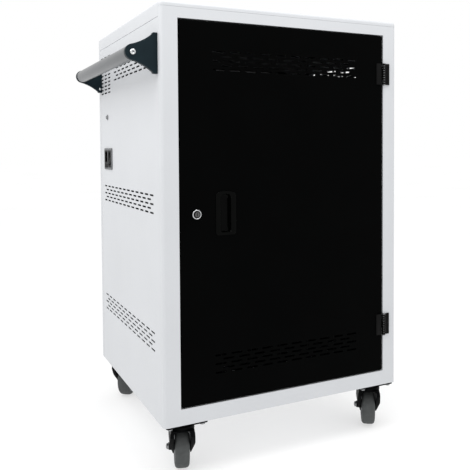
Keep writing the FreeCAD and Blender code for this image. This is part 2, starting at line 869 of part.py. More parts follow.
def make_handle():
    front_y = "front + front_bracket_inset"
    rear_y = "rear - rear_bracket_inset"
    make_bracket("front_handle_bracket", front_y)
    make_bracket("rear_handle_bracket", rear_y)
    tube = Piece("push_handle_tube")
    start = f"{front_y} + bracket_thickness / 2"
    length = f"{rear_y} - bracket_thickness / 2 - ({start})"
    tube.rod("Y", ("handle_x", start, "handle_z"), "handle_tube_radius", length)
    tube.rod("Y", ("handle_x", f"{start} + handle_plug_length", "handle_z"),
             "handle_tube_radius - handle_tube_wall", f"{length} - 2 * handle_plug_length", cut=True)
    for at in (start, f"{start} + {length} - handle_plug_length"):
        tube.rod("Y", ("handle_x", at, "handle_z"), "handle_screw_radius + fit_clearance",
                 "handle_plug_length", cut=True)
    tube.keep()
    screws = Piece("handle_screws")
    front_face = f"{front_y} - bracket_thickness / 2"
    rear_face = f"{rear_y} + bracket_thickness / 2"
    screws.rod("Y", ("handle_x", f"{front_face} - handle_screw_head_depth", "handle_z"), "handle_screw_head",
               "handle_screw_head_depth")
    screws.rod("Y", ("handle_x", front_face, "handle_z"), "handle_screw_radius", "handle_screw_length")
    screws.rod("Y", ("handle_x", rear_face, "handle_z"), "handle_screw_head", "handle_screw_head_depth")
    screws.rod("Y", ("handle_x", f"{rear_face} - handle_screw_length", "handle_z"), "handle_screw_radius",
               "handle_screw_length")
    for at in (f"{front_face} - handle_screw_head_depth", f"{rear_face} + handle_screw_head_depth / 2"):
        screws.rod("Y", ("handle_x", at, "handle_z"), "handle_screw_socket", "handle_screw_head_depth / 2",
                   cut=True)
    screws.keep()


# Inside: shelves with dividers in front of a partition, power strips behind it
def make_shelves():
    for level, name in enumerate(SHELF_NAMES):
        top_z = f"shelf_z + {level} * shelf_pitch"
        shelf = Piece(name + "_shelf")
        shelf.box(("inner_left", "shelf_front", f"{top_z} - shelf_flange"),
                  ("inner_width", "shelf_depth", "shelf_flange"))
        shelf.box(("inner_left + sheet", "shelf_front + sheet", f"{top_z} - shelf_flange - sheet"),
                  ("inner_width - 2 * sheet", "shelf_depth - 2 * sheet", "shelf_flange"), cut=True)
        shelf.keep()
        fin = Piece(name + "_divider")
        fin.box(
            ("inner_left + bay_pitch - divider_thickness / 2", "shelf_front + divider_setback", top_z),
            ("divider_thickness", "shelf_depth - 2 * divider_setback", "divider_height"))
        fin.round("divider_corner",
                  along("X", y="shelf_front + divider_setback", z=f"{top_z} + divider_height"))
        step = AXES["X"] * number("bay_pitch")
        row_of(fin, name + "_dividers", [step * bay for bay in range(int(number("bays")) - 1)])


def make_partition():
    wall = Piece("cable_partition")
    low_z = "base + pan_flange + seam_gap"
    wall.box(("inner_left", "partition_front", low_z),
             ("inner_width", "sheet", f"panel_top - sheet - seam_gap - ({low_z})"))
    for level in range(len(SHELF_NAMES)):
        wall.box(("-cable_slot_width / 2", "partition_front - sheet",
                  f"shelf_z + {level} * shelf_pitch + cable_slot_rise - cable_slot_height / 2"),
                 ("cable_slot_width", "3 * sheet", "cable_slot_height"), cut=True)
    wall.round("cable_slot_radius", either(along("Y", x="cable_slot_width / 2"),
                                           along("Y", x="-cable_slot_width / 2")))
    wall.keep()


def make_power_strips():
    strips = Piece("power_strip")
    low_z = "shelf_z + strip_rise - strip_height / 2"
    strips.box(("-strip_length / 2", "partition_rear", low_z),
               ("strip_length", "strip_depth", "strip_height"))
    strips.round("strip_edge_radius", either(along("X", y="partition_rear + strip_depth"),
                                             along("Z", y="partition_rear + strip_depth")))
    face_y = "partition_rear + strip_depth"
    first_x = "-outlet_pitch * (bays - 1) / 2"
    centre_z = "shelf_z + strip_rise"
    recess = strips.box(
        (f"{first_x} - outlet_recess_width / 2", f"{face_y} - outlet_recess_depth",
         f"{centre_z} - outlet_recess_height / 2"),
        ("outlet_recess_width", "2 * outlet_recess_depth", "outlet_recess_height"), cut=True)
    blades = [
        strips.box((f"{first_x} {side} blade_slot_spacing / 2 - blade_slot_width / 2",
                    f"{face_y} - outlet_recess_depth - blade_slot_depth",
                    f"{centre_z} - blade_slot_height / 2"),
                   ("blade_slot_width", "blade_slot_depth + outlet_recess_depth", "blade_slot_height"),
                   cut=True)
        for side in ("+", "-")
    ]
    earth = strips.rod("Y", (first_x, f"{face_y} - outlet_recess_depth - blade_slot_depth",
                             f"{centre_z} - earth_hole_drop"),
                       "earth_hole_radius", "blade_slot_depth + outlet_recess_depth", cut=True)
    strips.repeat([recess, *blades, earth], ("X", "outlet_pitch", "bays"))
    step = AXES["Z"] * number("shelf_pitch")
    row_of(strips, "power_strips", [step * level for level in range(len(SHELF_NAMES))])


# Power inlet, rocker switch, breaker and fan on the left side
def make_inlet():
    housing = Piece("inlet_housing")
    low_y, low_z = "inlet_y - inlet_width / 2", "inlet_z - inlet_tall / 2"
    housing.box(("left - inlet_flange_depth", low_y, low_z),
                ("inlet_flange_depth", "inlet_width", "inlet_tall"))
    housing.round("inlet_flange_radius", along("X"))
    housing.round("inlet_flange_depth / 3", loop_at("X", "left - inlet_flange_depth"))
    housing.box(("left", f"{low_y} + inlet_body_margin", f"{low_z} + inlet_body_margin"),
                ("inlet_body_depth", "inlet_width - 2 * inlet_body_margin",
                 "inlet_tall - 2 * inlet_body_margin"))
    socket_y = "inlet_y + inlet_column_offset"
    face = "left - inlet_flange_depth"
    housing.box((f"{face} - sheet", f"{socket_y} - inlet_socket_width / 2",
                 "inlet_z + inlet_socket_rise - inlet_socket_tall / 2"),
                ("inlet_socket_depth + sheet", "inlet_socket_width", "inlet_socket_tall"), cut=True)
    socket_top = "inlet_z + inlet_socket_rise + inlet_socket_tall / 2"
    housing.round("inlet_socket_corner", either(
        along("X", y=f"{socket_y} - inlet_socket_width / 2", z=socket_top),
        along("X", y=f"{socket_y} + inlet_socket_width / 2", z=socket_top)))
    housing.box((f"{face} - sheet", f"{socket_y} - fuse_width / 2 - fit_clearance",
                 "inlet_z - fuse_drop - fuse_tall / 2 - fit_clearance"),
                ("fuse_depth + sheet", "fuse_width + 2 * fit_clearance", "fuse_tall + 2 * fit_clearance"),
                cut=True)
    rocker_y = "inlet_y - inlet_column_offset"
    housing.box((f"{face} - sheet", f"{rocker_y} - rocker_width / 2 - fit_clearance",
                 "inlet_z - rocker_tall / 2 - rocker_end_gap"),
                ("rocker_well_depth + sheet", "rocker_width + 2 * fit_clearance",
                 "rocker_tall + 2 * rocker_end_gap"),
                cut=True)
    housing.rod("Y", (f"{face} + rocker_pivot_depth",
                      f"{rocker_y} - rocker_width / 2 - 2 * rocker_pivot_radius", "inlet_z"),
                "rocker_pivot_radius + running_clearance",
                "rocker_width + 4 * rocker_pivot_radius", cut=True)
    housing.keep()
    pins = Piece("inlet_pins")
    for step, rise in ((-1, 0), (0, 1), (1, 0)):
        pins.box((f"{face} + inlet_socket_depth - inlet_pin_length",
                  f"{socket_y} + {step} * inlet_pin_spacing - inlet_pin_width / 2",
                  f"inlet_z + inlet_socket_rise + {rise} * inlet_pin_tall - inlet_pin_tall / 2"),
                 ("inlet_pin_length", "inlet_pin_width", "inlet_pin_tall"))
    pins.keep()
    fuse = Piece("fuse_drawer")
    fuse.box((f"{face} - fuse_proud", f"{socket_y} - fuse_width / 2", "inlet_z - fuse_drop - fuse_tall / 2"),
             ("fuse_depth + fuse_proud - fit_clearance", "fuse_width", "fuse_tall"))
    fuse.round("fuse_proud * 0.6", loop_at("X", f"{face} - fuse_proud"))
    fuse.keep()
    rocker = Piece("rocker_switch")
    half = "rocker_tall / 2"
    back = "rocker_thickness - rocker_pivot_depth"
    rocker.pad("XZ_Plane", [
        ("-rocker_pivot_depth", f"-{half}"), ("-rocker_pivot_depth + rocker_dish", "0"),
        ("-rocker_pivot_depth", half), (back, f"{half} - rocker_end_gap"),
        (back, f"-{half} + rocker_end_gap"),
    ], "rocker_width")
    rocker.rod("Y", ("0", "-rocker_width / 2 - rocker_pivot_radius", "0"), "rocker_pivot_radius",
               "rocker_width + 2 * rocker_pivot_radius")
    rocker.body.Placement.Rotation = FreeCAD.Rotation(AXES["Y"], number("rocker_tilt"))
    bind_place(rocker.body, (f"{face} + rocker_pivot_depth", rocker_y, "inlet_z"))
    rocker.keep()


def make_breaker():
    collar = Piece("breaker_collar")
    face = "left - breaker_flange_depth"
    collar.rod("X", (face, "breaker_y", "breaker_z"), "breaker_flange_radius", "breaker_flange_depth")
    collar.round("breaker_flange_depth / 3", loop_at("X", face))
    collar.rod("X", ("left", "breaker_y", "breaker_z"), "breaker_body_radius", "breaker_body_depth")
    collar.rod("X", (f"{face} - sheet", "breaker_y", "breaker_z"),
               "breaker_button_radius + running_clearance",
               "breaker_button_length + breaker_travel + sheet", cut=True)
    collar.keep()
    button = Piece("breaker_button")
    button.rod("X", (f"{face} - breaker_button_proud", "breaker_y", "breaker_z"), "breaker_button_radius",
               "breaker_button_length")
    button.round("breaker_button_proud / 4", loop_at("X", f"{face} - breaker_button_proud"))
    button.keep()


def make_fan():
    frame = Piece("fan_frame")
    inner = "left + sheet"
    half = "fan_size / 2"
    frame.box((inner, f"fan_y - {half}", f"fan_z - {half}"), ("fan_depth", "fan_size", "fan_size"))
    frame.round("panel_edge_radius * 5", along("X"))
    frame.rod("X", (f"{inner} - sheet", "fan_y", "fan_z"), "fan_bore_radius", "fan_depth + 2 * sheet",
              cut=True)
    plate_x = f"{inner} + fan_depth - fan_stator_depth"
    frame.rod("X", (plate_x, "fan_y", "fan_z"), "fan_hub_radius", "fan_stator_depth")
    frame.box((plate_x, "fan_y - fan_strut / 2", "fan_z - fan_bore_radius - sheet"),
              ("fan_stator_depth", "fan_strut", "2 * fan_bore_radius + 2 * sheet"))
    frame.box((plate_x, "fan_y - fan_bore_radius - sheet", "fan_z - fan_strut / 2"),
              ("fan_stator_depth", "2 * fan_bore_radius + 2 * sheet", "fan_strut"))
    frame.rod("X", (f"{plate_x} - sheet", "fan_y", "fan_z"), "fan_shaft_radius + running_clearance",
              "fan_stator_depth + 2 * sheet", cut=True)
    frame.keep()
    rotor = Piece("fan_rotor")
    rotor_depth = "(fan_depth - fan_stator_depth - seam_gap - sheet)"
    rotor.rod("X", ("0", "0", "0"), "fan_hub_radius", rotor_depth)
    rotor.round("sheet * 2", loop_at("X", "0"))
    rotor.rod("X", ("0", "0", "0"), "fan_shaft_radius", f"{rotor_depth} + fan_stator_depth")
    lean = "fan_blade_thickness / 2 * cos(fan_blade_pitch) - fan_blade_chord / 2 * sin(fan_blade_pitch)"
    sweep = "fan_blade_thickness / 2 * sin(fan_blade_pitch) + fan_blade_chord / 2 * cos(fan_blade_pitch)"
    blade = rotor.box(
        (f"{rotor_depth} / 2 - ({lean})", f"-({sweep})", "fan_hub_radius - sheet"),
        ("fan_blade_thickness", "fan_blade_chord", "fan_bore_radius - fan_blade_clearance - fan_hub_radius"),
        turn=("Z", "fan_blade_pitch"))
    rotor.ring([blade], "X", "fan_blades")
    bind_place(rotor.body, (f"{inner} + sheet", "fan_y", "fan_z"))
    rotor.keep()


# Casters
def caster_spots():
    """Each caster's name, place and swivel angle."""
    right_x, left_x = "right - caster_side_inset", "left + caster_side_inset"
    front_y, rear_y = "front + caster_end_inset", "rear - caster_end_inset"
    return {
        "front_left": (left_x, front_y),
        "front_right": (right_x, front_y),
        "rear_left": (left_x, rear_y),
        "rear_right": (right_x, rear_y),
    }


def make_caster_plates():
    plate = Piece("caster_plate")
    plate.box(("-plate_length / 2", "-plate_width / 2", "plate_base"),
              ("plate_length", "plate_width", "plate_thickness"))
    plate.round("plate_corner_radius", along("Z"))
    plate.rod("Z", ("0", "0", "race_base"), "race_radius", "race_depth")
    plate.rod("Z", ("0", "0", "race_base - sheet"), "kingpin_radius + running_clearance",
              "race_depth + plate_thickness - sheet", cut=True)
    bolts = Piece("caster_bolt_set")
    for across in ("+", "-"):
        for back in ("+", "-"):
            x, y = f"0 {across} bolt_spacing_long / 2", f"0 {back} bolt_spacing_short / 2"
            plate.rod("Z", (x, y, "plate_base - sheet"), "bolt_radius + fit_clearance",
                      "plate_thickness + 2 * sheet", cut=True)
            bolts.rod("Z", (x, y, "plate_base - bolt_head_depth"), "bolt_head_radius", "bolt_head_depth")
            bolts.rod("Z", (x, y, "plate_base"), "bolt_radius", "plate_thickness")
    steps = [FreeCAD.Vector(number(x), number(y), 0) for x, y in caster_spots().values()]
    row_of(plate, "caster_plates", steps)
    row_of(bolts, "caster_bolts", steps)


def make_fork_master(braked):
    """A moulded fork: its front view and its side view meet in one solid."""
    name = "fork_braked" if braked else "fork_plain"
    front_view = Piece(name + "_front_view")
    right_leg = [
        ("leg_inner", "fork_crown - fork_wall"), ("leg_inner", "fork_foot"),
        ("leg_inner + fork_tip_width", "fork_foot"), ("leg_outer", "fork_knee"), ("leg_outer", "fork_crown"),
    ]
    left_leg = [(f"-({u})", v) for u, v in reversed(right_leg)]
    front_view.pad("XZ_Plane", right_leg + left_leg, "4 * pedal_pivot_reach")
    front_view.round("fork_bend_radius", along("Y", z="fork_crown"))
    front_view.round("fork_bend_radius - fork_wall", along("Y", z="fork_crown - fork_wall"))
    side_view = Piece(name + "_side_view")
    profile = [
        ("-fork_front", "fork_crown"), ("-fork_front", "fork_crown - 2 * fork_neck_depth"),
        ("wheel_trail - fork_end_radius", "fork_foot"), ("wheel_trail + fork_end_radius", "fork_foot"),
        ("fork_rear", "fork_crown - 2 * fork_neck_depth"), ("fork_rear", "fork_crown"),
    ]
    if braked:
        ear_end = "pedal_pivot_reach + 2 * pedal_pivot_radius"
        profile[4:] = [
            ("fork_rear", "pedal_pivot_height - 3 * pedal_pivot_radius"),
            (ear_end, "pedal_pivot_height - 2 * pedal_pivot_radius"),
            (ear_end, "fork_crown"),
        ]
    side_view.pad("YZ_Plane", profile, "2 * fork_width")
    side_view.round("fork_end_radius * 0.8", along("X", z="fork_foot"))
    moulded = doc.addObject("Part::Common", name + "_moulding")
    moulded.Base, moulded.Tool = front_view.body, side_view.body
    head = Piece(name + "_head")
    head.rod("Z", ("0", "0", "fork_crown - fork_wall"), "fork_head_radius", "fork_neck_depth + fork_wall")
    head.rod("Z", ("0", "0", "fork_crown"), "kingpin_radius", "fork_neck_depth + swivel_gap + race_depth")
    joined = doc.addObject("Part::Fuse", name + "_joined")
    joined.Base, joined.Tool = moulded, head.body
    holes = Piece(name + "_holes")
    holes.rod("X", ("-fork_width", "wheel_trail", "wheel_radius"), "axle_radius + running_clearance",
              "2 * fork_width")
    if braked:
        holes.rod("X", ("-fork_width", "pedal_pivot_reach", "pedal_pivot_height"),
                  "pedal_pivot_radius + running_clearance", "2 * fork_width")
    fork = doc.addObject("Part::Cut", name)
    fork.Base, fork.Tool = joined, holes.body
    return fork


def make_wheel_masters():
    core = Piece("wheel_core_master")
    half, web = "wheel_width / 2", "web_thickness / 2"
    hub = "leg_inner - hub_gap"
    rim_out = "wheel_radius - tread_depth - running_clearance"
    rim_in = "wheel_radius - tread_depth - rim_depth"
    bore = "axle_radius + running_clearance"
    right_half = [
        (hub, bore), (hub, "hub_end_radius"), (half, "hub_radius"),
        (web, "hub_radius + rim_depth"), (web, rim_in),
        (f"{half} - sheet", f"{rim_in} + sheet"), (f"{half} - sheet", rim_out),
    ]
    left_half = [(f"-({u})", v) for u, v in reversed(right_half)]
    core.spin("XZ_Plane", right_half + left_half)
    tread = Piece("wheel_tread_master")
    inner = "wheel_radius - tread_depth"
    tread.spin("XZ_Plane", [
        (f"-{half}", inner), (half, inner), (half, "wheel_radius - tread_crown"),
        (f"{half} - tread_crown", "wheel_radius"), (f"-{half} + tread_crown", "wheel_radius"),
        (f"-{half}", "wheel_radius - tread_crown"),
    ])
    axle = Piece("wheel_axle_master")
    reach = "leg_outer"
    axle.rod("X", (f"-{reach}", "0", "0"), "axle_radius", f"2 * {reach}")
    for x in (f"-{reach} - axle_head_depth", reach):
        axle.rod("X", (x, "0", "0"), "axle_head_radius", "axle_head_depth")
    return core, tread, axle


def make_pedal_master():
    pedal = Piece("brake_pedal_master")
    inner = "leg_inner - seam_gap"
    pedal.rod("X", (f"-({inner})", "0", "0"), "pedal_barrel_radius", f"2 * ({inner})")
    pedal.rod("X", ("-leg_outer", "0", "0"), "pedal_pivot_radius", "fork_width")
    pedal.box(("-pedal_width / 2", "0", "-pedal_thickness / 2"),
              ("pedal_width", "pedal_length", "pedal_thickness"))
    pedal.box(("-pedal_width / 2", "pedal_length - pedal_thickness", "-pedal_thickness / 2"),
              ("pedal_width", "pedal_thickness", "pedal_toe"))
    return pedal


def stand_on_caster(shape, spot, angle, reach, height):
    """Carry a caster piece from its own axes to its place under the cabinet."""
    moved = shape.copy()
    moved.translate(FreeCAD.Vector(0, number(reach), number(height)))
    moved.rotate(FreeCAD.Vector(0, 0, 0), AXES["Z"], -angle)
    moved.translate(FreeCAD.Vector(number(spot[0]), number(spot[1]), 0))
    return moved


def make_casters():
    make_caster_plates()
    forks = {True: make_fork_master(True), False: make_fork_master(False)}
    core, tread, axle = make_wheel_masters()
    pedal = make_pedal_master()
    doc.recompute()
    for name, spot in caster_spots().items():
        angle = number(name + "_swivel")
        braked = name.startswith("front")
        pieces = [
            (name + "_caster_fork", forks[braked].Shape, "0", "0"),
            (name + "_wheel_core", core.body.Shape, "wheel_trail", "wheel_radius"),
            (name + "_wheel_tread", tread.body.Shape, "wheel_trail", "wheel_radius"),
            (name + "_wheel_axle", axle.body.Shape, "wheel_trail", "wheel_radius"),
        ]
        if braked:
            pieces.append(
                (name + "_brake_pedal", pedal.body.Shape, "pedal_pivot_reach", "pedal_pivot_height"))
        for label, shape, reach, height in pieces:
            item = doc.addObject("Part::Feature", label)
            item.Shape = stand_on_caster(shape, spot, angle, reach, height)
            keep(item, label)


make_top_cover()
make_frame("front_frame", "front", "frame_return", "front", "front", "frame_top - base", "opening_height")
make_frame("rear_frame", "rear - rear_wrap", "rear_wrap", "rear", "rear - stop_depth", "panel_top - base",
           "rear_opening_height")
make_left_side()
make_right_side()
make_base_pan()
make_door("front_door", "door_height", True, FreeCAD.Rotation())
make_door("rear_door", "rear_door_height", False, HALF_TURN)
make_pull()
make_hinges()
make_locks()
make_handle()
make_shelves()
make_partition()
make_power_strips()
make_inlet()
make_breaker()
make_fan()
make_casters()
doc.recompute()

for item in doc.Objects:
    if "Invalid" in item.State or "Error" in item.State:
        raise RuntimeError(f"{item.Label} did not build: {item.State}")
os.makedirs("parts", exist_ok=True)
for item in subparts:
    if item.Shape.isNull() or not item.Shape.isValid():
        raise RuntimeError(f"{item.Label} has no sound solid")
    item.Shape.exportStep(f"parts/{item.Label}.step")
print(len(subparts), "sub-parts written")
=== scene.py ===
"""Looks of a laptop charging cart: finishes for its solids, small fittings, studio light and camera."""

import json
import logging
import math
from contextlib import contextmanager
from dataclasses import dataclass, field
from enum import Enum
from itertools import product
from typing import Iterable, Iterator, Sequence

import bmesh
import bpy
from mathutils import Euler, Matrix, Vector

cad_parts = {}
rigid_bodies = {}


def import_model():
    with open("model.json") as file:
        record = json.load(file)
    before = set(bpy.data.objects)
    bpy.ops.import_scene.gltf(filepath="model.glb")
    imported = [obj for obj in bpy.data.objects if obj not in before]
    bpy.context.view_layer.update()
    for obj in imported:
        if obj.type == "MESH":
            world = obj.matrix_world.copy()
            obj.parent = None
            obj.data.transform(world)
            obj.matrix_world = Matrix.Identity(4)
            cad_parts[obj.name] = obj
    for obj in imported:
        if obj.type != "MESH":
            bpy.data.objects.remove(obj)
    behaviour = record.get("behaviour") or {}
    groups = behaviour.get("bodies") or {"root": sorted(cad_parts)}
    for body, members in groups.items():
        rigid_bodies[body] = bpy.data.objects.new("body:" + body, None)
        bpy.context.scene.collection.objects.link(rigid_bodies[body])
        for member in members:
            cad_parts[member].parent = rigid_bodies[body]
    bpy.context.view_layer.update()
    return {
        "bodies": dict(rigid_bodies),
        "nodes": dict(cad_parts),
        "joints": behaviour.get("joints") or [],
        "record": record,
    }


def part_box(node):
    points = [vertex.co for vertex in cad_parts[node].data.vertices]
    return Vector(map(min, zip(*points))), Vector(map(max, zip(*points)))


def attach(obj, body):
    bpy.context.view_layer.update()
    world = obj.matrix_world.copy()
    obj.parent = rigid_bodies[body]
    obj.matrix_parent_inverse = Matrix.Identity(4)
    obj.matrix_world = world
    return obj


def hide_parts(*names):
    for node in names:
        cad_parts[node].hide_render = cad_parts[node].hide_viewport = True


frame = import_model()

LOG = logging.getLogger("charging_cart")
MM = 0.001
SMOOTH_ANGLE = math.radians(35)
# The usual spread of noise between 0 and 1.
NOISE_LOW = 0.3
NOISE_HIGH = 0.7
# Tolerances of the mesh work, in metres.
SAME_SPOT = 1e-5
MERGE_WITHIN = 1e-6
CUT_WITHIN = 1e-7
# The usual eased edge, in millimetres, and its facets.
EASED_RIM = 0.6
RIM_FACETS = 2
Socket = bpy.types.NodeSocket
Value = float | Sequence[float] | Socket
Colour = tuple[float, float, float]
Outline = Sequence[tuple[float, float]]
Profile = tuple[tuple[float, float], ...]
Ring = tuple[float, float, float]


def joint_row(name: str) -> dict:
    """Find a joint of the frame by its name."""
    return next(row for row in frame["joints"] if row["name"] == name)


def pivot(joint: str) -> Vector:
    """Find the point that a joint turns about, in millimetres."""
    return Vector(joint_row(joint)["pos_m"]) / MM


def corners(node: str) -> tuple[Vector, Vector]:
    """Find the lowest and highest corner of a solid at rest, in millimetres."""
    low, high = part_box(node)
    return Vector(low) / MM, Vector(high) / MM


def middle(node: str) -> Vector:
    """Find the middle of a solid's box, in millimetres."""
    low, high = corners(node)
    return (low + high) / 2


def shift(x: float, y: float, z: float) -> Matrix:
    """Make a move from millimetres."""
    return Matrix.Translation((x * MM, y * MM, z * MM))


def turn(axis: str, degrees: float) -> Matrix:
    """Make a turn about an axis of the cart."""
    return Matrix.Rotation(math.radians(degrees), 4, axis)


def lifted(profile: Outline, level: float) -> Outline:
    """Move a profile of (radius, height) pairs up to a level."""
    return [(radius, height + level) for radius, height in profile]


def tinted(colour: Sequence[float], share: float) -> tuple[float, ...]:
    """Make a colour lighter or darker by a share."""
    return tuple(min(1.0, channel * share) for channel in colour)


TO_FRONT = turn("X", 90)
TO_REAR = turn("X", -90)
# Turns that bring a fitting of the front door to each door.
DOORS: dict[str, Matrix] = {"front": Matrix(), "rear": turn("Z", 180)}


class Slot(Enum):
    """The material slots that the record names."""

    WHITE_PAINT = "white_paint"
    BLACK_PAINT = "black_paint"
    DIVIDER_COATING = "divider_coating"
    BLACK_PLASTIC = "black_plastic"
    GREY_PLASTIC = "grey_plastic"
    GREY_RUBBER = "grey_rubber"
    ALUMINIUM = "aluminium"
    CHROME = "chrome"
    ZINC_STEEL = "zinc_steel"


class Shader:
    """A material's node tree, its main shader and the few nodes that the finishes share."""

    def __init__(self, name: str) -> None:
        """Start a material with object coordinates at hand.

        Args:
            name: The material's name.
        """
        self.material = bpy.data.materials.new(name)
        self.material.use_nodes = True
        self.tree = self.material.node_tree
        self.surface = self.tree.nodes["Principled BSDF"]
        self.place = self.add("ShaderNodeTexCoord").outputs["Object"]

    def add(self, kind: str, **inputs: Value) -> bpy.types.Node:
        """Add a node and feed its inputs.

        Args:
            kind: Blender's name of the node type.
            inputs: Values or sockets by input name, with _ for a space.

        Returns:
            The new node.
        """
        node = self.tree.nodes.new(kind)
        for name, value in inputs.items():
            self.feed(node.inputs[name.replace("_", " ")], value)
        return node

    def feed(self, socket: Socket, value: Value) -> None:
        """Set a socket to a value, or link another socket to it.

        Args:
            socket: The input.
            value: A number, a colour or the socket to link.
        """
        if isinstance(value, Socket):
            self.tree.links.new(value, socket)
        else:
            socket.default_value = value

    def set(self, **inputs: Value) -> None:
        """Feed inputs of the main shader, by name with _ for a space."""
        for name, value in inputs.items():
            self.feed(self.surface.inputs[name.replace("_", " ")], value)

    def axes(self) -> dict[str, Socket]:
        """Split the place on the piece into X, Y and Z."""
        return {part.name: part for part in self.add("ShaderNodeSeparateXYZ", Vector=self.place).outputs}

    def noise(self, scale: float, detail: float = 2.0, stretch: Sequence[float] = (1, 1, 1)) -> Socket:
        """Make noise over the piece.

        Args:
            scale: Cells per metre.
            detail: Octaves of finer noise.
            stretch: Share of the scale along each axis.

        Returns:
            The noise between 0 and 1.
        """
        spot = self.add("ShaderNodeMapping", Vector=self.place, Scale=stretch).outputs["Vector"]
        return self.add("ShaderNodeTexNoise", Vector=spot, Scale=scale, Detail=detail).outputs["Fac"]

    def between(self, share: Socket, low: float, high: float) -> Socket:
        """Map noise from its usual spread to a range of numbers."""
        ends = {"From_Min": NOISE_LOW, "From_Max": NOISE_HIGH, "To_Min": low, "To_Max": high}
        return self.add("ShaderNodeMapRange", Value=share, **ends).outputs["Result"]

    def blend(self, share: Socket, low: Sequence[float], high: Sequence[float]) -> Socket:
        """Map noise from its usual spread to a colour between two.

        Args:
            share: The noise, or a mask of 0 and 1.
            low: The colour where it is low.
            high: The colour where it is high.

        Returns:
            The colour.
        """
        ramp = self.add("ShaderNodeValToRGB", Fac=share)
        for stop, place, colour in zip(ramp.color_ramp.elements, (NOISE_LOW, NOISE_HIGH), (low, high)):
            stop.position = place
            stop.color = (*colour, 1)
        return ramp.outputs["Color"]

    def work_out(self, operation: str, *numbers: Value) -> Socket:
        """Work out a number from one or two others.

        Args:
            operation: Blender's name of the operation.
            numbers: Numbers or sockets.

        Returns:
            The result.
        """
        node = self.add("ShaderNodeMath")
        node.operation = operation
        for socket, number in zip(node.inputs, numbers):
            self.feed(socket, number)
        return node.outputs["Value"]

    def within(self, number: Socket, limit: float, centre: float = 0.0) -> Socket:
        """Give 1 where a number lies nearer to a centre than a limit, and 0 elsewhere."""
        away = self.work_out("ABSOLUTE", self.work_out("SUBTRACT", number, centre))
        return self.work_out("LESS_THAN", away, limit)

    def relief(self, depth: float, *heights: tuple[Socket, float]) -> None:
        """Give the surface a fine relief.

        Args:
            depth: Height of the relief in metres.
            heights: Noise sockets, each with its share of the relief.
        """
        normal = None
        for height, share in heights:
            bump = self.add("ShaderNodeBump", Height=height, Strength=share, Distance=depth)
            if normal:
                self.feed(bump.inputs["Normal"], normal)
            normal = bump.outputs["Normal"]
        self.set(Normal=normal)


@dataclass(frozen=True)
class Finish:
    """A surface finish that becomes one procedural material.

    Scales of noise are cells per metre, and depths and other sizes are in metres.
    """

    slot: Slot
    colour: Colour
    roughness: float
    name: str = ""

    def material(self) -> bpy.types.Material:
        """Build the finish's material.

        Returns:
            The material, named for the finish or else for its slot.
        """
        shader = Shader(self.name or self.slot.value)
        self.dress(shader)
        return shader.material

    def dress(self, shader: Shader) -> None:
        """Fill the node tree; each kind of finish has its own way."""
        raise NotImplementedError


@dataclass(frozen=True)
class PowderCoat(Finish):
    """Baked powder paint: a fine sandy grain over a soft orange peel, with faint clouding."""

    gloss: float = 0.4
    cloud: float = 7.0
    clouding: float = 0.03
    grain: float = 1500.0
    grain_share: float = 0.35
    peel: float = 260.0
    peel_share: float = 0.2
    spread: float = 0.05
    depth: float = 0.12 * MM

    def dress(self, shader: Shader) -> None:
        """Fill the node tree of a painted sheet.

        Args:
            shader: The material's shader.
        """
        cloud = shader.noise(self.cloud, detail=4.0)
        grain = shader.noise(self.grain, detail=1.0)
        peel = shader.noise(self.peel)
        shader.set(
            Base_Color=shader.blend(cloud, tinted(self.colour, 1 - self.clouding), self.colour),
            Roughness=shader.between(peel, self.roughness - self.spread, self.roughness + self.spread),
            Specular_IOR_Level=self.gloss,
        )
        shader.relief(self.depth, (grain, self.grain_share), (peel, self.peel_share))


@dataclass(frozen=True)
class InsideShadeCoat(PowderCoat):
    """Powder paint on the cabinet's outside, with painted shade on the inside: a dull dark colour within
    the solid's skin.
    """

    inside_painted_shade: Colour = (0.02, 0.02, 0.021)
    solid: str = "rear_frame"
    skin: float = 0.7 * MM

    def dress(self, shader: Shader) -> None:
        """Fill the node tree of a painted sheet, then paint shade on what lies inside the solid's skin,
        dark and dull.

        Args:
            shader: The material's shader.
        """
        super().dress(shader)
        paint = shader.surface.inputs["Base Color"].links[0].from_socket
        rough = shader.surface.inputs["Roughness"].links[0].from_socket
        axes = shader.axes()
        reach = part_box(self.solid)[1]
        across = shader.within(axes["X"], reach[0] - self.skin)
        along = shader.within(axes["Y"], reach[1] - self.skin)
        inside = shader.work_out("MULTIPLY", across, along)
        # Painted shade: inside the skin the paint is mixed to a dark colour that stands for the shade in
        # the frame.
        mix = shader.add("ShaderNodeMixRGB", Fac=inside, Color1=paint, Color2=(*self.inside_painted_shade, 1))
        shader.set(Base_Color=mix.outputs["Color"], Roughness=shader.work_out("MAXIMUM", rough, inside))


@dataclass(frozen=True)
class MouldedPlastic(Finish):
    """Moulded plastic with a spark-eroded grain and cloudy patches of polish."""

    gloss: float = 0.35
    wear: float = 35.0
    paler: float = 1.25
    spread: float = 0.18
    grain: float = 2200.0
    grain_share: float = 0.3
    depth: float = 0.1 * MM

    def dress(self, shader: Shader) -> None:
        """Fill the node tree of a moulding.

        Args:
            shader: The material's shader.
        """
        wear = shader.noise(self.wear, detail=3.0)
        grain = shader.noise(self.grain, detail=0.0)
        polished, dull = self.roughness * (1 - self.spread), self.roughness * (1 + self.spread)
        shader.set(
            Base_Color=shader.blend(wear, self.colour, tinted(self.colour, self.paler)),
            Roughness=shader.between(wear, polished, dull),
            Specular_IOR_Level=self.gloss,
        )
        shader.relief(self.depth, (grain, self.grain_share))


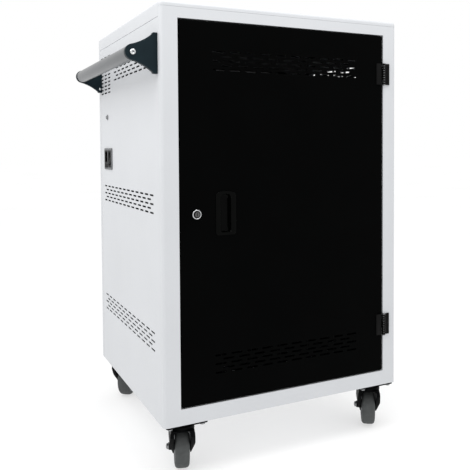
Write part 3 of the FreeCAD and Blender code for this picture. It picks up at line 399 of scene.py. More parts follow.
@dataclass(frozen=True)
class TwoTone(MouldedPlastic):
    """A moulded bezel on the cart's left side, with two dark panels and dark recesses behind its face."""

    dark: Colour = (0.002, 0.002, 0.002)
    solid: str = "inlet_housing"
    face_depth: float = 2.0 * MM
    panel_offset: float = 19.5 * MM
    panel_half: tuple[float, float] = (18 * MM, 25 * MM)

    def dress(self, shader: Shader) -> None:
        """Fill the node tree of a moulding, then darken its panels and what lies behind its face.

        Args:
            shader: The material's shader.
        """
        super().dress(shader)
        axes = shader.axes()
        face, (_, bezel_y, bezel_z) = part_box(self.solid)[0][0], middle(self.solid) * MM
        wide, tall = self.panel_half
        level = shader.within(axes["Z"], tall, bezel_z)
        share = shader.work_out("GREATER_THAN", axes["X"], face + self.face_depth)
        for side in (-1, 1):
            column = shader.within(axes["Y"], wide, bezel_y + side * self.panel_offset)
            share = shader.work_out("MAXIMUM", share, shader.work_out("MULTIPLY", level, column))
        shader.set(Base_Color=shader.blend(share, self.colour, self.dark))


@dataclass(frozen=True)
class Rubber(Finish):
    """Soft wheel rubber with a dusty bloom."""

    gloss: float = 0.25
    bloom: float = 90.0
    bloom_share: float = 0.15
    darker: float = 0.82
    paler: float = 1.12
    spread: float = 0.1
    pores: float = 1800.0
    pore_share: float = 0.3
    depth: float = 0.15 * MM

    def dress(self, shader: Shader) -> None:
        """Fill the node tree of a tread.

        Args:
            shader: The material's shader.
        """
        bloom = shader.noise(self.bloom, detail=5.0)
        pores = shader.noise(self.pores, detail=1.0)
        dark, pale = tinted(self.colour, self.darker), tinted(self.colour, self.paler)
        shader.set(
            Base_Color=shader.blend(bloom, dark, pale),
            Roughness=shader.between(bloom, self.roughness - self.spread, self.roughness),
            Specular_IOR_Level=self.gloss,
        )
        shader.relief(self.depth, (pores, self.pore_share), (bloom, self.bloom_share))


@dataclass(frozen=True)
class DrawnMetal(Finish):
    """Metal with fine draw lines along one axis of the cart."""

    lines: float = 1400.0
    line_stretch: tuple[float, float, float] = (1.0, 0.01, 1.0)
    line_share: float = 0.25
    contrast: float = 0.06
    smear: float = 8.0
    spread: float = 0.02
    depth: float = 0.02 * MM

    def dress(self, shader: Shader) -> None:
        """Fill the node tree of a drawn or brushed metal.

        Args:
            shader: The material's shader.
        """
        lines = shader.noise(self.lines, stretch=self.line_stretch)
        smear = shader.noise(self.smear, detail=1.0)
        shader.set(
            Base_Color=shader.blend(lines, tinted(self.colour, 1 - self.contrast), self.colour),
            Roughness=shader.between(smear, self.roughness - self.spread, self.roughness + self.spread),
            Metallic=1.0,
        )
        shader.relief(self.depth, (lines, self.line_share))


@dataclass(frozen=True)
class PlatedMetal(Finish):
    """Plated steel: bright, with faint tarnish clouds and fine handling scratches."""

    cloud: float = 120.0
    tarnish: float = 0.15
    scratches: float = 900.0
    scratch_stretch: tuple[float, float, float] = (1, 0.08, 0.3)
    scratch_share: float = 0.2
    spread: float = 0.3
    depth: float = 0.01 * MM

    def dress(self, shader: Shader) -> None:
        """Fill the node tree of a plated piece.

        Args:
            shader: The material's shader.
        """
        cloud = shader.noise(self.cloud, detail=4.0)
        scratches = shader.noise(self.scratches, detail=3.0, stretch=self.scratch_stretch)
        polished, dull = self.roughness * (1 - self.spread), self.roughness * (1 + self.spread)
        shader.set(
            Base_Color=shader.blend(cloud, tinted(self.colour, 1 - self.tarnish), self.colour),
            Roughness=shader.between(scratches, polished, dull),
            Metallic=1.0,
        )
        shader.relief(self.depth, (scratches, self.scratch_share))


WHITE = PowderCoat(Slot.WHITE_PAINT, (0.585, 0.598, 0.618), 0.45, gloss=0.3)
BLACK_PLASTIC = MouldedPlastic(Slot.BLACK_PLASTIC, (0.0018, 0.0020, 0.0022), 0.4, gloss=0.03)
GREY_PLASTIC = MouldedPlastic(Slot.GREY_PLASTIC, (0.2, 0.205, 0.21), 0.5)
GREY_RUBBER = Rubber(Slot.GREY_RUBBER, (0.066, 0.070, 0.070), 0.72)
CHROME = PlatedMetal(Slot.CHROME, (0.55, 0.56, 0.57), 0.14)
ZINC = PlatedMetal(Slot.ZINC_STEEL, (0.30, 0.305, 0.31), 0.32)
USUAL = (
    WHITE,
    PowderCoat(Slot.BLACK_PAINT, (0.0012, 0.0013, 0.0013), 0.4, clouding=0.2, gloss=0.012),
    PowderCoat(Slot.DIVIDER_COATING, (0.018, 0.019, 0.021), 0.5, clouding=0.1, gloss=0.3),
    BLACK_PLASTIC,
    GREY_PLASTIC,
    GREY_RUBBER,
    DrawnMetal(Slot.ALUMINIUM, (0.13, 0.137, 0.145), 0.3),
    CHROME,
    ZINC,
)
# The rear frame's white paint, with painted shade on its inside.
WHITE_WITH_INSIDE_SHADE = InsideShadeCoat(WHITE.slot, WHITE.colour, WHITE.roughness, "white_with_painted_inside_shade", gloss=WHITE.gloss)
# Painted shade: the cable partition is painted grey so that it reads as shaded through the door's vents.
PARTITION_PAINTED_SHADE = PowderCoat(Slot.WHITE_PAINT, (0.16, 0.163, 0.168), 0.5, "partition_painted_shade", gloss=0.3)
HINGE_BLACK = PowderCoat(
    Slot.BLACK_PAINT, (0.003, 0.003, 0.003), 0.16, "hinge_black", clouding=0.1, gloss=0.08
)
PULL_BLACK = MouldedPlastic(Slot.BLACK_PLASTIC, (0.0010, 0.0011, 0.0010), 0.06, "pull_black", gloss=0.04)
ARM_BLACK = MouldedPlastic(Slot.BLACK_PLASTIC, (0.006, 0.013, 0.017), 0.4, "arm_black", gloss=0.1)
INLET_GREY = TwoTone(Slot.BLACK_PLASTIC, (0.16, 0.165, 0.17), 0.5, "inlet_grey", gloss=0.1)
# Painted shade: the chrome plug of each lock is darkened to a grey metal.
PLUG_DARKENED_AS_SHADE = PlatedMetal(Slot.CHROME, (0.11, 0.11, 0.11), 0.25, "plug_darkened_as_shade")
SCREW_STEEL = PlatedMetal(Slot.ZINC_STEEL, (0.72, 0.73, 0.74), 0.25, "screw_steel")
# Dark lock body, partly its own colour and partly painted shade in the groove round the plug.
LOCK_BODY_AND_GROOVE_SHADE = PlatedMetal(Slot.ZINC_STEEL, (0.02, 0.02, 0.021), 0.45, "lock_body_and_groove_shade")


class Blank:
    """A mesh that grows shape by shape, each made about the Z axis and then carried to its place."""

    def __init__(self) -> None:
        """Start with an empty mesh."""
        self.mesh = bmesh.new()

    @contextmanager
    def placed(self, *moves: Matrix) -> Iterator[None]:
        """Carry what is made inside the block to its place, and close its seams.

        Args:
            moves: Turns and shifts, the outermost first.

        Returns:
            A context for the making.
        """
        known = set(self.mesh.verts)
        yield
        fresh = [vert for vert in self.mesh.verts if vert not in known]
        bmesh.ops.remove_doubles(self.mesh, verts=fresh, dist=MERGE_WITHIN)
        fresh = [vert for vert in self.mesh.verts if vert not in known]
        whole = Matrix.Identity(4)
        for move in moves:
            whole = whole @ move
        bmesh.ops.transform(self.mesh, matrix=whole, verts=fresh)

    def turned(self, profile: Outline, steps: int = 64, ring: bool = False) -> None:
        """Turn a profile of (radius, height) pairs about the Z axis.

        Args:
            profile: The pairs in millimetres, from one end to the other.
            steps: Steps of the full turn.
            ring: Whether the profile closes on itself, for a form with a hole.
        """
        spots = [self.mesh.verts.new((radius * MM, 0, height * MM)) for radius, height in profile]
        ends = spots[1:] + spots[:1] if ring else spots[1:]
        sides = [self.mesh.edges.new(pair) for pair in zip(spots, ends)]
        bmesh.ops.spin(
            self.mesh, geom=spots + sides, cent=(0, 0, 0), axis=(0, 0, 1),
            angle=math.tau, steps=steps, use_merge=True,
        )

    def drawn(self, section: Outline, low: float, high: float) -> list[bmesh.types.BMFace]:
        """Draw a section in the XY plane out along Z.

        Args:
            section: Corners of the section in millimetres.
            low: Height of the start.
            high: Height of the end.

        Returns:
            The end face and the start face.
        """
        start = self.mesh.faces.new([self.mesh.verts.new((x * MM, y * MM, low * MM)) for x, y in section])
        grown = bmesh.ops.extrude_face_region(self.mesh, geom=[start], use_keep_orig=True)["geom"]
        fresh = [item for item in grown if isinstance(item, bmesh.types.BMVert)]
        bmesh.ops.translate(self.mesh, verts=fresh, vec=(0, 0, (high - low) * MM))
        return [item for item in grown if isinstance(item, bmesh.types.BMFace)] + [start]

    def carried(self, face: bmesh.types.BMFace, half: float, tall: float, rings: Iterable[Ring]) -> None:
        """Carry a face about the Z axis on through rings and close the last.

        Args:
            face: The face, which goes.
            half: Half its width in millimetres.
            tall: Half its height.
            rings: Of each ring how far it lies in from the sides and from the ends, and its height.
        """
        wide, high = half, tall
        for side, end, level in rings:
            grown = bmesh.ops.extrude_face_region(self.mesh, geom=[face])["geom"]
            bmesh.ops.delete(self.mesh, geom=[face], context="FACES_ONLY")
            face = next(item for item in grown if isinstance(item, bmesh.types.BMFace))
            bmesh.ops.scale(self.mesh, vec=((half - side) / wide, (tall - end) / high, 1), verts=face.verts)
            rise = level * MM - face.verts[0].co.z
            bmesh.ops.translate(self.mesh, verts=face.verts, vec=(0, 0, rise))
            wide, high = half - side, tall - end

    def trimmed(self, spot: Sequence[float], outward: Sequence[float]) -> None:
        """Cut the mesh off along a plane, close the cut and ease its rim.

        Args:
            spot: A point of the plane in millimetres.
            outward: The plane's normal, on the side that goes.
        """
        cut = bmesh.ops.bisect_plane(
            self.mesh, geom=[*self.mesh.verts, *self.mesh.edges, *self.mesh.faces], dist=CUT_WITHIN,
            plane_co=Vector(spot) * MM, plane_no=Vector(outward).normalized(), clear_outer=True,
        )["geom_cut"]
        rims = [item for item in cut if isinstance(item, bmesh.types.BMEdge)]
        bmesh.ops.holes_fill(self.mesh, edges=rims, sides=0)
        self.soften(rims, EASED_RIM, RIM_FACETS)

    def nut(self, radius: float, low: float, high: float) -> None:
        """Make a hexagon with eased rims.

        Args:
            radius: Radius over its corners in millimetres.
            low: Height of its lower face.
            high: Height of its upper face.
        """
        spokes = [math.tau * sixth / 6 for sixth in range(6)]
        hexagon = [(radius * math.cos(spoke), radius * math.sin(spoke)) for spoke in spokes]
        caps = self.drawn(hexagon, low, high)
        self.soften([side for cap in caps for side in cap.edges], EASED_RIM, RIM_FACETS)

    def hoops(self, radius: float) -> list[bmesh.types.BMEdge]:
        """Find the edges that run round the Z axis.

        Args:
            radius: Their radius in millimetres.

        Returns:
            The edges.
        """
        return [
            edge for edge in self.mesh.edges
            if all(abs(vert.co.xy.length - radius * MM) < SAME_SPOT for vert in edge.verts)
            and abs(edge.verts[0].co.z - edge.verts[1].co.z) < MERGE_WITHIN
        ]

    def soften(self, edges: Iterable[bmesh.types.BMEdge], width: float, facets: int) -> None:
        """Round edges.

        Args:
            edges: The edges.
            width: Width of the rounding in millimetres.
            facets: Facets across it.
        """
        bmesh.ops.bevel(
            self.mesh, geom=list(edges), offset=width * MM, segments=facets,
            affect="EDGES", profile=0.5, material=-1,
        )


class Workshop:
    """Holds the finishes and turns meshes into pieces of the cart."""

    def __init__(self, usual: Iterable[Finish]) -> None:
        """Note the usual finish of each slot.

        Args:
            usual: The finishes, one for each slot.
        """
        self.usual = {finish.slot: finish for finish in usual}
        self.materials: dict[Finish, bpy.types.Material] = {}

    def material(self, finish: Finish) -> bpy.types.Material:
        """Give the material of a finish, which is made once.

        Args:
            finish: The finish.

        Returns:
            Its material.
        """
        if finish not in self.materials:
            self.materials[finish] = finish.material()
        return self.materials[finish]

    def paint(self, node: str, finish: Finish) -> None:
        """Give a solid of the frame a finish.

        Args:
            node: The solid's name.
            finish: What it is finished in.
        """
        coats = frame["nodes"][node].data.materials
        coats.clear()
        coats.append(self.material(finish))
        LOG.info("painted %s with %s", node, coats[0].name)

    def paint_solids(self) -> None:
        """Give each solid the usual finish of its slot in the record, and paint shade on two sheets: the
        cable partition and the inside of the rear frame.
        """
        for part in frame["record"]["subparts"]:
            self.paint(part["node"], self.usual[Slot(part["material_slot"])])
        # Painted shade on the cable partition.
        self.paint("cable_partition", PARTITION_PAINTED_SHADE)
        # Painted shade on the inside of the rear frame.
        self.paint(WHITE_WITH_INSIDE_SHADE.solid, WHITE_WITH_INSIDE_SHADE)

    def piece(
        self, name: str, blank: Blank, body: str, finish: Finish, stands_for: Sequence[str] = ()
    ) -> None:
        """Finish a blank as a piece that rides on a body.

        Args:
            name: The piece's name.
            blank: Its shape, in the cart's frame; its mesh is freed here.
            body: The body that carries it.
            finish: What it is finished in.
            stands_for: Solids that it is shown in place of.
        """
        bmesh.ops.recalc_face_normals(blank.mesh, faces=blank.mesh.faces)
        data = bpy.data.meshes.new(name)
        blank.mesh.to_mesh(data)
        blank.mesh.free()
        data.shade_smooth()
        data.set_sharp_from_angle(angle=SMOOTH_ANGLE)
        data.materials.append(self.material(finish))
        made = bpy.data.objects.new(name, data)
        bpy.context.scene.collection.objects.link(made)
        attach(made, body)
        if stands_for:
            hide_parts(*stands_for)
        LOG.info("made %s on %s", name, body)


@dataclass
class Caster:
    """One swivel caster: a moulded fork, a crowned tyre on its centre, and an axle bolt with a nut.

    Sizes are in millimetres. Turned forms are (radius, height) pairs, and the fork has (across, up) pairs.
    """

    name: str
    half: float = 17.5
    tread_depth: float = 11.0
    tread_crown: float = 0.7
    shoulder: float = 8.0
    bead: float = 0.8
    hub: Profile = ((5.2, 19.4), (8, 19.4), (9.5, 18.6), (14, 17), (16, 14.5), (18, 7), (20, 4.5))
    rim: Profile = ((-6, 4.5), (-4, 7), (-3, 15), (-1.8, 16.3), (0, 16.3))
    crown: Profile = ((15, 108.6), (22.5, 111.6), (27.3, 110.2), (29.3, 105))
    throat: Profile = ((20, 104), (18.5, 107.5))
    leg: Profile = ((30.9, 77), (30.6, 72), (21.8, 42), (20, 42))
    leg_reach: tuple[float, float] = (-42, 31)
    ear: Profile = ((29.8, 92), (20, 92))
    ear_reach: tuple[float, float] = (-66, -40)
    shin: tuple[tuple[float, float], tuple[float, float]] = ((95.6, 31), (35, -12))
    head: Profile = ((0, 107), (28.8, 107), (30, 108.2), (30, 118.6), (29, 119.6), (0, 119.6))
    boss: Profile = ((5.2, -22), (9.6, -22), (8.8, -30.2), (8, -31), (5.2, -31))
    nut_seat: float = -31.0
    bolt_face: float = 25.0
    bolt_tip: Profile = ((0, -6.6), (3.6, -6.6), (4.4, -5.8))
    bolt_head: Profile = ((4.4, -3), (7, -3), (6.4, -0.6), (4, 0), (0, 0.2))
    washer: Profile = ((4.6, 0), (8.4, 0), (8.4, -1), (7.9, -1.4), (4.6, -1.4))
    nut_radius: float = 7.5
    nut_height: float = 4.0
    swivel: Vector = field(init=False)
    heading: float = field(init=False)
    radius: float = field(init=False)
    trail: float = field(init=False)
    braked: bool = field(init=False)

    def __post_init__(self) -> None:
        """Read from the frame where the caster stands and whether it has a brake."""
        self.swivel = pivot(self.name + "_swivel")
        axle = pivot(self.name + "_roll")
        across = joint_row(self.name + "_roll")["axis"]
        self.heading = math.degrees(math.atan2(-across[1], across[0]))
        self.radius = axle.z
        self.trail = (axle - self.swivel).xy.length
        self.braked = self.name + "_brake" in frame["bodies"]

    def stand(self) -> Matrix:
        """Find the place of the caster, with its swivel axis along Z and its wheel towards +Y."""
        return shift(self.swivel.x, self.swivel.y, 0) @ turn("Z", -self.heading)

    def stance(self) -> Matrix:
        """Find the place of the wheel, with its axle along Z."""
        return self.stand() @ shift(0, self.trail, self.radius) @ turn("Y", 90)

    def arch(self, leg: Outline) -> Outline:
        """Outline the fork's crown over a pair of legs as seen from the front."""
        right = [*self.crown[1:], *leg, *self.throat, self.crown[0]]
        return right + [(-x, z) for x, z in reversed(right)]

    def build_fork(self, workshop: Workshop) -> None:
        """Draw the legs back from the front, cut them to a slant and set the head on them.

        Args:
            workshop: What finishes the piece.
        """
        fork = Blank()
        (top, near), (low, far) = self.shin
        with fork.placed(self.stand(), TO_FRONT):
            fork.drawn(self.arch(self.leg), *self.leg_reach)
            fork.trimmed((0, top, near), (0, far - near, top - low))
            if self.braked:
                fork.drawn(self.arch(self.ear), *self.ear_reach)
        with fork.placed(self.stand()):
            fork.turned(self.head)
        with fork.placed(self.stance()):
            fork.turned(self.boss, steps=40, ring=True)
        solids = [self.name + "_caster_fork"]
        workshop.piece(self.name + "_fork_moulding", fork, self.name + "_fork", BLACK_PLASTIC, solids)

    def build_tyre(self, workshop: Workshop) -> None:
        """Turn the tyre and round its shoulders.

        Args:
            workshop: What finishes the piece.
        """
        tyre = Blank()
        inner, outer = self.radius - self.tread_depth, self.radius - self.tread_crown
        side = [(inner, -self.half), (outer, -self.half)]
        other = [(radius, -across) for radius, across in reversed(side)]
        with tyre.placed(self.stance()):
            tyre.turned([*side, (self.radius, 0), *other], steps=96, ring=True)
            tyre.soften(tyre.hoops(outer), self.shoulder, facets=5)
            tyre.soften(tyre.hoops(inner), self.bead, facets=2)
        solids = [self.name + "_wheel_tread"]
        workshop.piece(self.name + "_tyre", tyre, self.name + "_wheel", GREY_RUBBER, solids)

    def build_centre(self, workshop: Workshop) -> None:
        """Turn the wheel's centre: hub, web and rim.

        Args:
            workshop: What finishes the piece.
        """
        centre = Blank()
        seat = self.radius - self.tread_depth
        side = [*self.hub, *((seat + inset, across) for inset, across in self.rim)]
        other = [(radius, -across) for radius, across in reversed(side)]
        with centre.placed(self.stance()):
            centre.turned(side + other, steps=72, ring=True)
        solids = [self.name + "_wheel_core"]
        workshop.piece(self.name + "_centre", centre, self.name + "_wheel", GREY_PLASTIC, solids)

    def build_axle(self, workshop: Workshop) -> None:
        """Make the axle bolt, with a low round head, and a washer under its nut.

        Args:
            workshop: What finishes the piece.
        """
        axle = Blank()
        bolt = [*lifted(self.bolt_tip, self.nut_seat), *lifted(self.bolt_head, self.bolt_face)]
        washer = lifted(self.washer, self.nut_seat)
        face = washer[-1][1]
        with axle.placed(self.stance()):
            axle.turned(bolt, steps=32)
            axle.turned(washer, steps=40, ring=True)
            axle.nut(self.nut_radius, face - self.nut_height, face)
        solids = [self.name + "_wheel_axle"]
        workshop.piece(self.name + "_axle_bolt", axle, self.name + "_fork", ZINC, solids)

    def build(self, workshop: Workshop) -> None:
        """Make all pieces of the caster.

        Args:
            workshop: What finishes the pieces.
        """
        self.build_fork(workshop)
        self.build_tyre(workshop)
        self.build_centre(workshop)
        self.build_axle(workshop)


@dataclass
class Undercarriage:
    """The four casters and the bolts of their plates, with sizes in millimetres."""

    places: tuple[str, ...] = ("front_left", "front_right", "rear_left", "rear_right")
    bolt_across: float = 41.0
    bolt_along: float = 30.0
    bolt_turns: tuple[float, float] = (17, 8)
    washer: Profile = ((0, 0), (7.6, 0), (7.6, -0.9), (7.2, -1.3), (0, -1.3))
    bolt_radius: float = 6.6
    bolt_height: float = 4.0

    def build_bolts(self, casters: Iterable[Caster], workshop: Workshop) -> None:
        """Make the hexagon bolts of the plates, each on a washer and turned its own way.

        Args:
            casters: The casters that they hold.
            workshop: What finishes the piece.
        """
        bolts = Blank()
        face = self.washer[-1][1]
        for caster, across, along in product(casters, (-1, 1), (-1, 1)):
            reach = shift(across * self.bolt_across, along * self.bolt_along, 0)
            twist = across * self.bolt_turns[0] + along * self.bolt_turns[1]
            with bolts.placed(shift(*caster.swivel), reach, turn("Z", twist)):
                bolts.turned(self.washer, steps=24)
                bolts.nut(self.bolt_radius, face - self.bolt_height, face)
        workshop.piece("plate_bolts", bolts, "cabinet", ZINC, ["caster_bolts"])

    def build(self, workshop: Workshop) -> None:
        """Make the casters' pieces and the bolts.

        Args:
            workshop: What finishes the pieces.
        """
        casters = [Caster(place) for place in self.places]
        for caster in casters:
            caster.build(workshop)
        self.build_bolts(casters, workshop)


@dataclass
class Hinges:
    """The hinges of both doors: bevelled leaves, barrels of short knuckles, and pins with domed ends.

    Sizes are in millimetres, and places are those of the front door's hinges.
    """

    height: float = 56.0
    barrels: int = 3
    frame_barrels: tuple[int, ...] = (0, 2)
    door_barrels: tuple[int, ...] = (1,)
    barrel_radius: float = 5.0
    barrel_ease: float = 0.7
    knuckles: int = 9
    gap: float = 1.6
    pin_radius: float = 2.4
    pin_play: float = 0.1
    cap: Profile = ((4, 0), (3.5, 1.1), (2.2, 1.8), (0, 2))
    leaf_ease: float = 0.5
    frame_leaf: Profile = (
        (5.4, 0), (20.5, 0), (20.5, -2.2), (19.2, -3.5), (14.9, -3.5), (14.4, -2.7), (13.2, -2.7),
        (12.7, -3.5), (9.9, -3.5), (9.4, -2.7), (8.2, -2.7), (7.7, -3.5), (5.4, -3.5),
    )
    door_leaf: Profile = ((-21.5, 0), (-5.4, 0), (-5.4, -3.5), (-19.3, -3.5), (-21.5, -1.3))
    tie_reach: float = 5.8
    tie_depth: float = 3.4
    tie_inset: float = 0.3
    tie_height: float = 18.0
    pin: Vector = field(init=False)
    face: float = field(init=False)
    feet: tuple[float, float] = field(init=False)

    def __post_init__(self) -> None:
        """Read from the frame the front door's pin line and face, and the height of the leaves' feet."""
        self.pin = pivot("front_door_hinge")
        self.face = corners("front_door")[0].y
        low, high = corners("frame_hinge_leaves")
        self.feet = (low.z, high.z - self.height)

    def barrel(self, blank: Blank, place: int) -> None:
        """Turn the knuckles of one barrel of a hinge whose foot is at the origin.

        Args:
            blank: The mesh that takes it.
            place: Its place from below, counted from 0.
        """
        pitch, share = self.height / self.knuckles, self.knuckles // self.barrels
        radius, ease, bore = self.barrel_radius, self.barrel_ease, self.pin_radius + self.pin_play
        for knuckle in range(place * share, (place + 1) * share):
            low, high = knuckle * pitch + self.gap / 2, (knuckle + 1) * pitch - self.gap / 2
            lower = [(bore, low), (radius - ease, low), (radius, low + ease)]
            upper = [(radius, high - ease), (radius - ease, high), (bore, high)]
            blank.turned(lower + upper, steps=40, ring=True)

    def leaf(self, section: Outline, places: Sequence[int], doors: Iterable[Matrix]) -> Blank:
        """Make leaves with their barrels, and a tie from each barrel to its leaf.

        Args:
            section: Section of the leaf, from the pin's line and the door's face.
            places: Places of the barrels that belong to it, from below.
            doors: Turns that bring a hinge of the front door to each door it serves.

        Returns:
            The leaves of both hinges of each door.
        """
        blank = Blank()
        near, far = (0, self.tie_reach) if section[0][0] > 0 else (-self.tie_reach, 0)
        tie = [(near, 0), (far, 0), (far, -self.tie_depth), (near, -self.tie_depth)]
        for door, foot in product(doors, self.feet):
            with blank.placed(door, shift(self.pin.x, self.face, foot)):
                caps = blank.drawn(section, 0, self.height)
                blank.soften([side for cap in caps for side in cap.edges], self.leaf_ease, facets=2)
                for place in places:
                    low = place * self.height / self.barrels + self.tie_inset
                    blank.drawn(tie, low, low + self.tie_height)
            with blank.placed(door, shift(self.pin.x, self.pin.y, foot)):
                for place in places:
                    self.barrel(blank, place)
        return blank

    def build_pins(self, workshop: Workshop) -> None:
        """Make the pins, with a domed cap at either end.

        Args:
            workshop: What finishes the piece.
        """
        pins = Blank()
        low_cap = [(radius, -rise) for radius, rise in reversed(self.cap)]
        shank = [(self.pin_radius, 0), (self.pin_radius, self.height)]
        profile = [*low_cap, *shank, *lifted(self.cap, self.height)]
        for door, foot in product(DOORS.values(), self.feet):
            with pins.placed(door, shift(self.pin.x, self.pin.y, foot)):
                pins.turned(profile, steps=40)
        workshop.piece("hinge_pin_set", pins, "cabinet", ZINC, ["hinge_pins"])

    def build(self, workshop: Workshop) -> None:
        """Make leaves and pins.

        Args:
            workshop: What finishes the pieces.
        """
        frame_side = self.leaf(self.frame_leaf, self.frame_barrels, DOORS.values())
        workshop.piece("frame_leaves", frame_side, "cabinet", HINGE_BLACK, ["frame_hinge_leaves"])
        for name, door in DOORS.items():
            door_side = self.leaf(self.door_leaf, self.door_barrels, [door])
            solids = [name + "_door_hinge_leaves"]
            workshop.piece(name + "_door_leaves", door_side, name + "_door", HINGE_BLACK, solids)
        self.build_pins(workshop)


@dataclass
class Locks:
    """The round locks of both doors: a bright rim over a dark body with a deep groove round the plug. The
    body's dark colour is partly its own and partly painted shade in the groove, and the plug is darkened as
    painted shade.

    Both are given by (radius, height) pairs in millimetres, from the door's face.
    """

    rim: Profile = (
        (8.1, 0.5), (9.4, 0), (11.5, 0), (11.5, 2.4), (11.2, 3.2), (10.6, 3.8), (10, 4), (9.2, 3.9),
        (8.6, 3.4), (8.2, 2.6),
    )
    body: Profile = ((6.2, -23.2), (9.5, -23.2), (9.5, 0.2), (8.3, 0.9), (8, 0.9), (7.8, -2), (6.2, -2))

    def build(self, workshop: Workshop) -> None:
        """Turn the rim and the body of each lock, and darken its plug as painted shade.

        Args:
            workshop: What finishes the pieces.
        """
        spot = shift(*pivot("front_lock_turn"))
        for name, door in DOORS.items():
            rim, body = Blank(), Blank()
            for blank, profile in ((rim, self.rim), (body, self.body)):
                with blank.placed(door, spot, TO_FRONT):
                    blank.turned(profile, steps=72, ring=True)
            workshop.piece(name + "_lock_rim", rim, name + "_door", CHROME, [name + "_lock_housing"])
            # The dark body stands partly for the shade in the groove.
            workshop.piece(name + "_lock_body_and_groove_shade", body, name + "_door", LOCK_BODY_AND_GROOVE_SHADE)
            # The plug's darkened chrome is painted shade.
            workshop.paint(name + "_lock_plug", PLUG_DARKENED_AS_SHADE)


@dataclass
class DoorPull:
    """The flush pull of the front door: an arched rim round a scooped cup, with sizes in millimetres."""

    solid: str = "door_pull"
    edge: float = 1.4
    arch: float = 6.0
    flat_share: float = 0.4
    foot_round: float = 9.0
    eaves_round: float = 7.0
    top_round: float = 8.0
    scoop: tuple[Ring, ...] = (
        (0.9, 0.9, 2.6), (2.6, 2.2, 3), (9, 5.5, 3), (12, 7.2, 2.4), (13.3, 8, 0.8), (13.6, 8.2, -8),
        (14.4, 9, -11.5), (16.5, 11.5, -13.6), (20, 16, -14),
    )
    back: tuple[Ring, ...] = (
        (11.8, 6.4, 0), (11.8, 6.4, -8), (12.6, 7.2, -12.5), (14.7, 9.7, -15.4), (18.5, 14.5, -15.8),
    )

    def corner(self, pull: Blank, across: float, up: float, width: float) -> None:
        """Round the upright edges at a corner of the outline and at its mirror image.

        Args:
            pull: The drawn outline.
            across: Distance of the corner from the middle line in millimetres.
            up: Its height.
            width: Width of the rounding.
        """
        spots = [Vector((side * across * MM, up * MM)) for side in (-1, 1)]
        upright = [
            edge for edge in pull.mesh.edges
            if any(all((vert.co.xy - spot).length < SAME_SPOT for vert in edge.verts) for spot in spots)
        ]
        pull.soften(upright, width, facets=6)

    def build(self, workshop: Workshop) -> None:
        """Draw the arched outline, then shape the scoop before it and the cup behind it.

        Args:
            workshop: What finishes the piece.
        """
        pull = Blank()
        spot, (low, high) = middle(self.solid), corners(self.solid)
        half, tall = (high.x - low.x) / 2, (high.z - low.z) / 2
        flat, eaves = self.flat_share * half, tall - self.arch
        right = [(half, -tall), (half, eaves), (flat, tall)]
        outline = right + [(-x, z) for x, z in reversed(right)]
        with pull.placed(shift(spot.x, corners("front_door")[0].y, spot.z), TO_FRONT):
            pull.drawn(outline, 0, self.edge)
            self.corner(pull, half, -tall, self.foot_round)
            self.corner(pull, half, eaves, self.eaves_round)
            self.corner(pull, flat, tall, self.top_round)
            large = sorted(pull.mesh.faces, key=lambda face: face.calc_area())[-2:]
            rear, front = sorted(large, key=lambda face: face.calc_center_median().z)
            pull.carried(front, half, tall, self.scoop)
            pull.carried(rear, half, tall, self.back)
        workshop.piece("arched_pull", pull, "front_door", PULL_BLACK, [self.solid])


@dataclass
class PushHandle:
    """The push handle: moulded arms, socket screws in the tube and small screws in the arms' feet.

    Sizes are in millimetres, and a screw is given by (radius, height) pairs from its seat.
    """

    foot_out: float = 6.0
    foot_rise: float = 36.0
    socket_screw: Profile = (
        (0, -9), (2.5, -9), (2.9, 3.6), (3.6, 4), (4.8, 3.8), (6.2, 2.8), (7, 1.2), (7, 0), (4, 0),
        (4, -30), (0, -30),
    )
    foot_screw: Profile = ((0, 0.4), (1.2, 0.4), (1.5, 2), (2.4, 2), (3.4, 1.3), (3.8, 0), (0, 0))

    def build(self, workshop: Workshop) -> None:
        """Finish the arms in their own black and turn their screws.

        Args:
            workshop: What finishes the pieces.
        """
        screws, small = Blank(), Blank()
        tube = middle("push_handle_tube")
        foot_x = corners("left_side_panel")[0].x - self.foot_out
        for end, outward, inward in (("front", TO_FRONT, TO_REAR), ("rear", TO_REAR, TO_FRONT)):
            arm = end + "_handle_bracket"
            workshop.paint(arm, ARM_BLACK)
            inner, outer = sorted((corner.y for corner in corners(arm)), key=abs)
            with screws.placed(shift(tube.x, outer, tube.z), outward):
                screws.turned(self.socket_screw, steps=48)
            for rise in (-self.foot_rise, self.foot_rise):
                with small.placed(shift(foot_x, inner, tube.z + rise), inward):
                    small.turned(self.foot_screw, steps=32)
        workshop.piece("tube_screws", screws, "cabinet", SCREW_STEEL, ["handle_screws"])
        workshop.piece("foot_screws", small, "cabinet", SCREW_STEEL)


@dataclass
class PowerPanel:
    """The fittings of the left side's power corner."""

    bezel: TwoTone = INLET_GREY

    def build(self, workshop: Workshop) -> None:
        """Finish the inlet's bezel in its own two tones."""
        workshop.paint(self.bezel.solid, self.bezel)


@dataclass(frozen=True)
class Lamp:
    """A square soft lamp, in metres and watts."""

    name: str
    spot: tuple[float, float, float]
    size: float
    power: float

    def hang(self, aim: Sequence[float]) -> None:
        """Hang the lamp at its spot.

        Args:
            aim: The point that it faces, in metres.
        """
        data = bpy.data.lights.new(self.name, "AREA")
        data.shape = "SQUARE"
        data.size = self.size
        data.energy = self.power
        lamp = bpy.data.objects.new(self.name, data)
        lamp.location = self.spot
        lamp.rotation_euler = (Vector(aim) - Vector(self.spot)).to_track_quat("-Z", "Y").to_euler()
        bpy.context.scene.collection.objects.link(lamp)


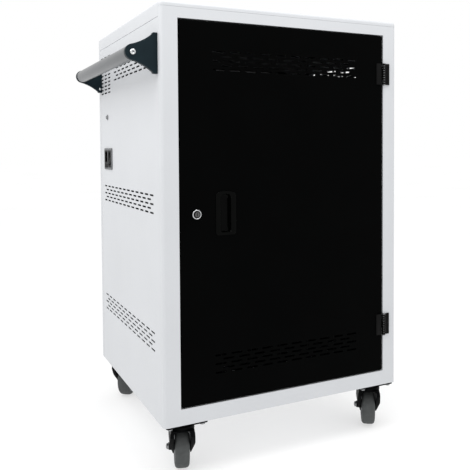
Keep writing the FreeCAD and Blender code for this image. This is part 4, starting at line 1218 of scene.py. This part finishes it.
@dataclass
class Studio:
    """A plain pale floor, soft light from all round and the camera, in metres and degrees.

    The lens and its sensor are in millimetres, and the lens shift is a share of the sensor.
    """

    floor_half: float = 30.0
    floor_cloud: float = 0.8
    floor_dark: Colour = (0.43, 0.43, 0.43)
    floor_pale: Colour = (0.46, 0.46, 0.46)
    floor_roughness: float = 0.9
    floor_glow: float = 0.56
    surround: float = 1.0
    white: tuple[float, ...] = (1, 1, 1, 1)
    lamps: tuple[Lamp, ...] = (
        Lamp("key", (-1.3, -0.35, 2.0), size=1.0, power=13),
        Lamp("top", (0.1, -0.9, 2.4), size=0.8, power=13),
    )
    lamp_aim: tuple[float, float, float] = (0, 0, 0.6)
    eye: tuple[float, float, float] = (-0.7932, -1.6497, 0.7744)
    yaw: float = 25.427
    pitch: float = 1.927
    roll: float = -0.378
    lens: float = 48.18
    lens_shift: float = -0.14
    sensor: float = 36.0

    def build_floor(self) -> None:
        """Lay the floor, a sheet far larger than the view."""
        mesh = bmesh.new()
        bmesh.ops.create_grid(mesh, x_segments=1, y_segments=1, size=self.floor_half)
        data = bpy.data.meshes.new("floor")
        mesh.to_mesh(data)
        mesh.free()
        shader = Shader("floor")
        shader.set(
            Base_Color=shader.blend(shader.noise(self.floor_cloud), self.floor_dark, self.floor_pale),
            Roughness=self.floor_roughness,
            Specular_IOR_Level=0.0,
            Emission_Color=self.white,
            Emission_Strength=self.floor_glow,
        )
        data.materials.append(shader.material)
        floor = bpy.data.objects.new("floor", data)
        bpy.context.scene.collection.objects.link(floor)

    def build_light(self) -> None:
        """Light the cart from a white surround and large soft lamps."""
        world = bpy.data.worlds.new("surround")
        world.use_nodes = True
        sky = world.node_tree.nodes["Background"].inputs
        sky["Color"].default_value = self.white
        sky["Strength"].default_value = self.surround
        bpy.context.scene.world = world
        for lamp in self.lamps:
            lamp.hang(self.lamp_aim)

    def build_camera(self) -> None:
        """Stand the camera where the photograph was taken from."""
        data = bpy.data.cameras.new("camera")
        data.lens = self.lens
        data.sensor_width = self.sensor
        data.shift_y = self.lens_shift
        camera = bpy.data.objects.new("camera", data)
        level = Euler((math.radians(90 - self.pitch), 0, math.radians(-self.yaw))).to_matrix()
        aim = level @ Matrix.Rotation(math.radians(self.roll), 3, "Z")
        camera.matrix_world = Matrix.LocRotScale(Vector(self.eye), aim, None)
        bpy.context.scene.collection.objects.link(camera)
        bpy.context.scene.camera = camera

    def build(self) -> None:
        """Set up floor, light and camera."""
        self.build_floor()
        self.build_light()
        self.build_camera()
        bpy.context.scene.view_settings.view_transform = "Standard"
        LOG.info("set up the studio")


def main() -> None:
    """Dress the cart and set the studio."""
    logging.basicConfig(level=logging.INFO, format="%(message)s")
    workshop = Workshop(USUAL)
    workshop.paint_solids()
    Studio().build()
    for assembly in (Undercarriage(), Hinges(), Locks(), DoorPull(), PushHandle(), PowerPanel()):
        assembly.build(workshop)


if __name__ == "__main__":
    main()
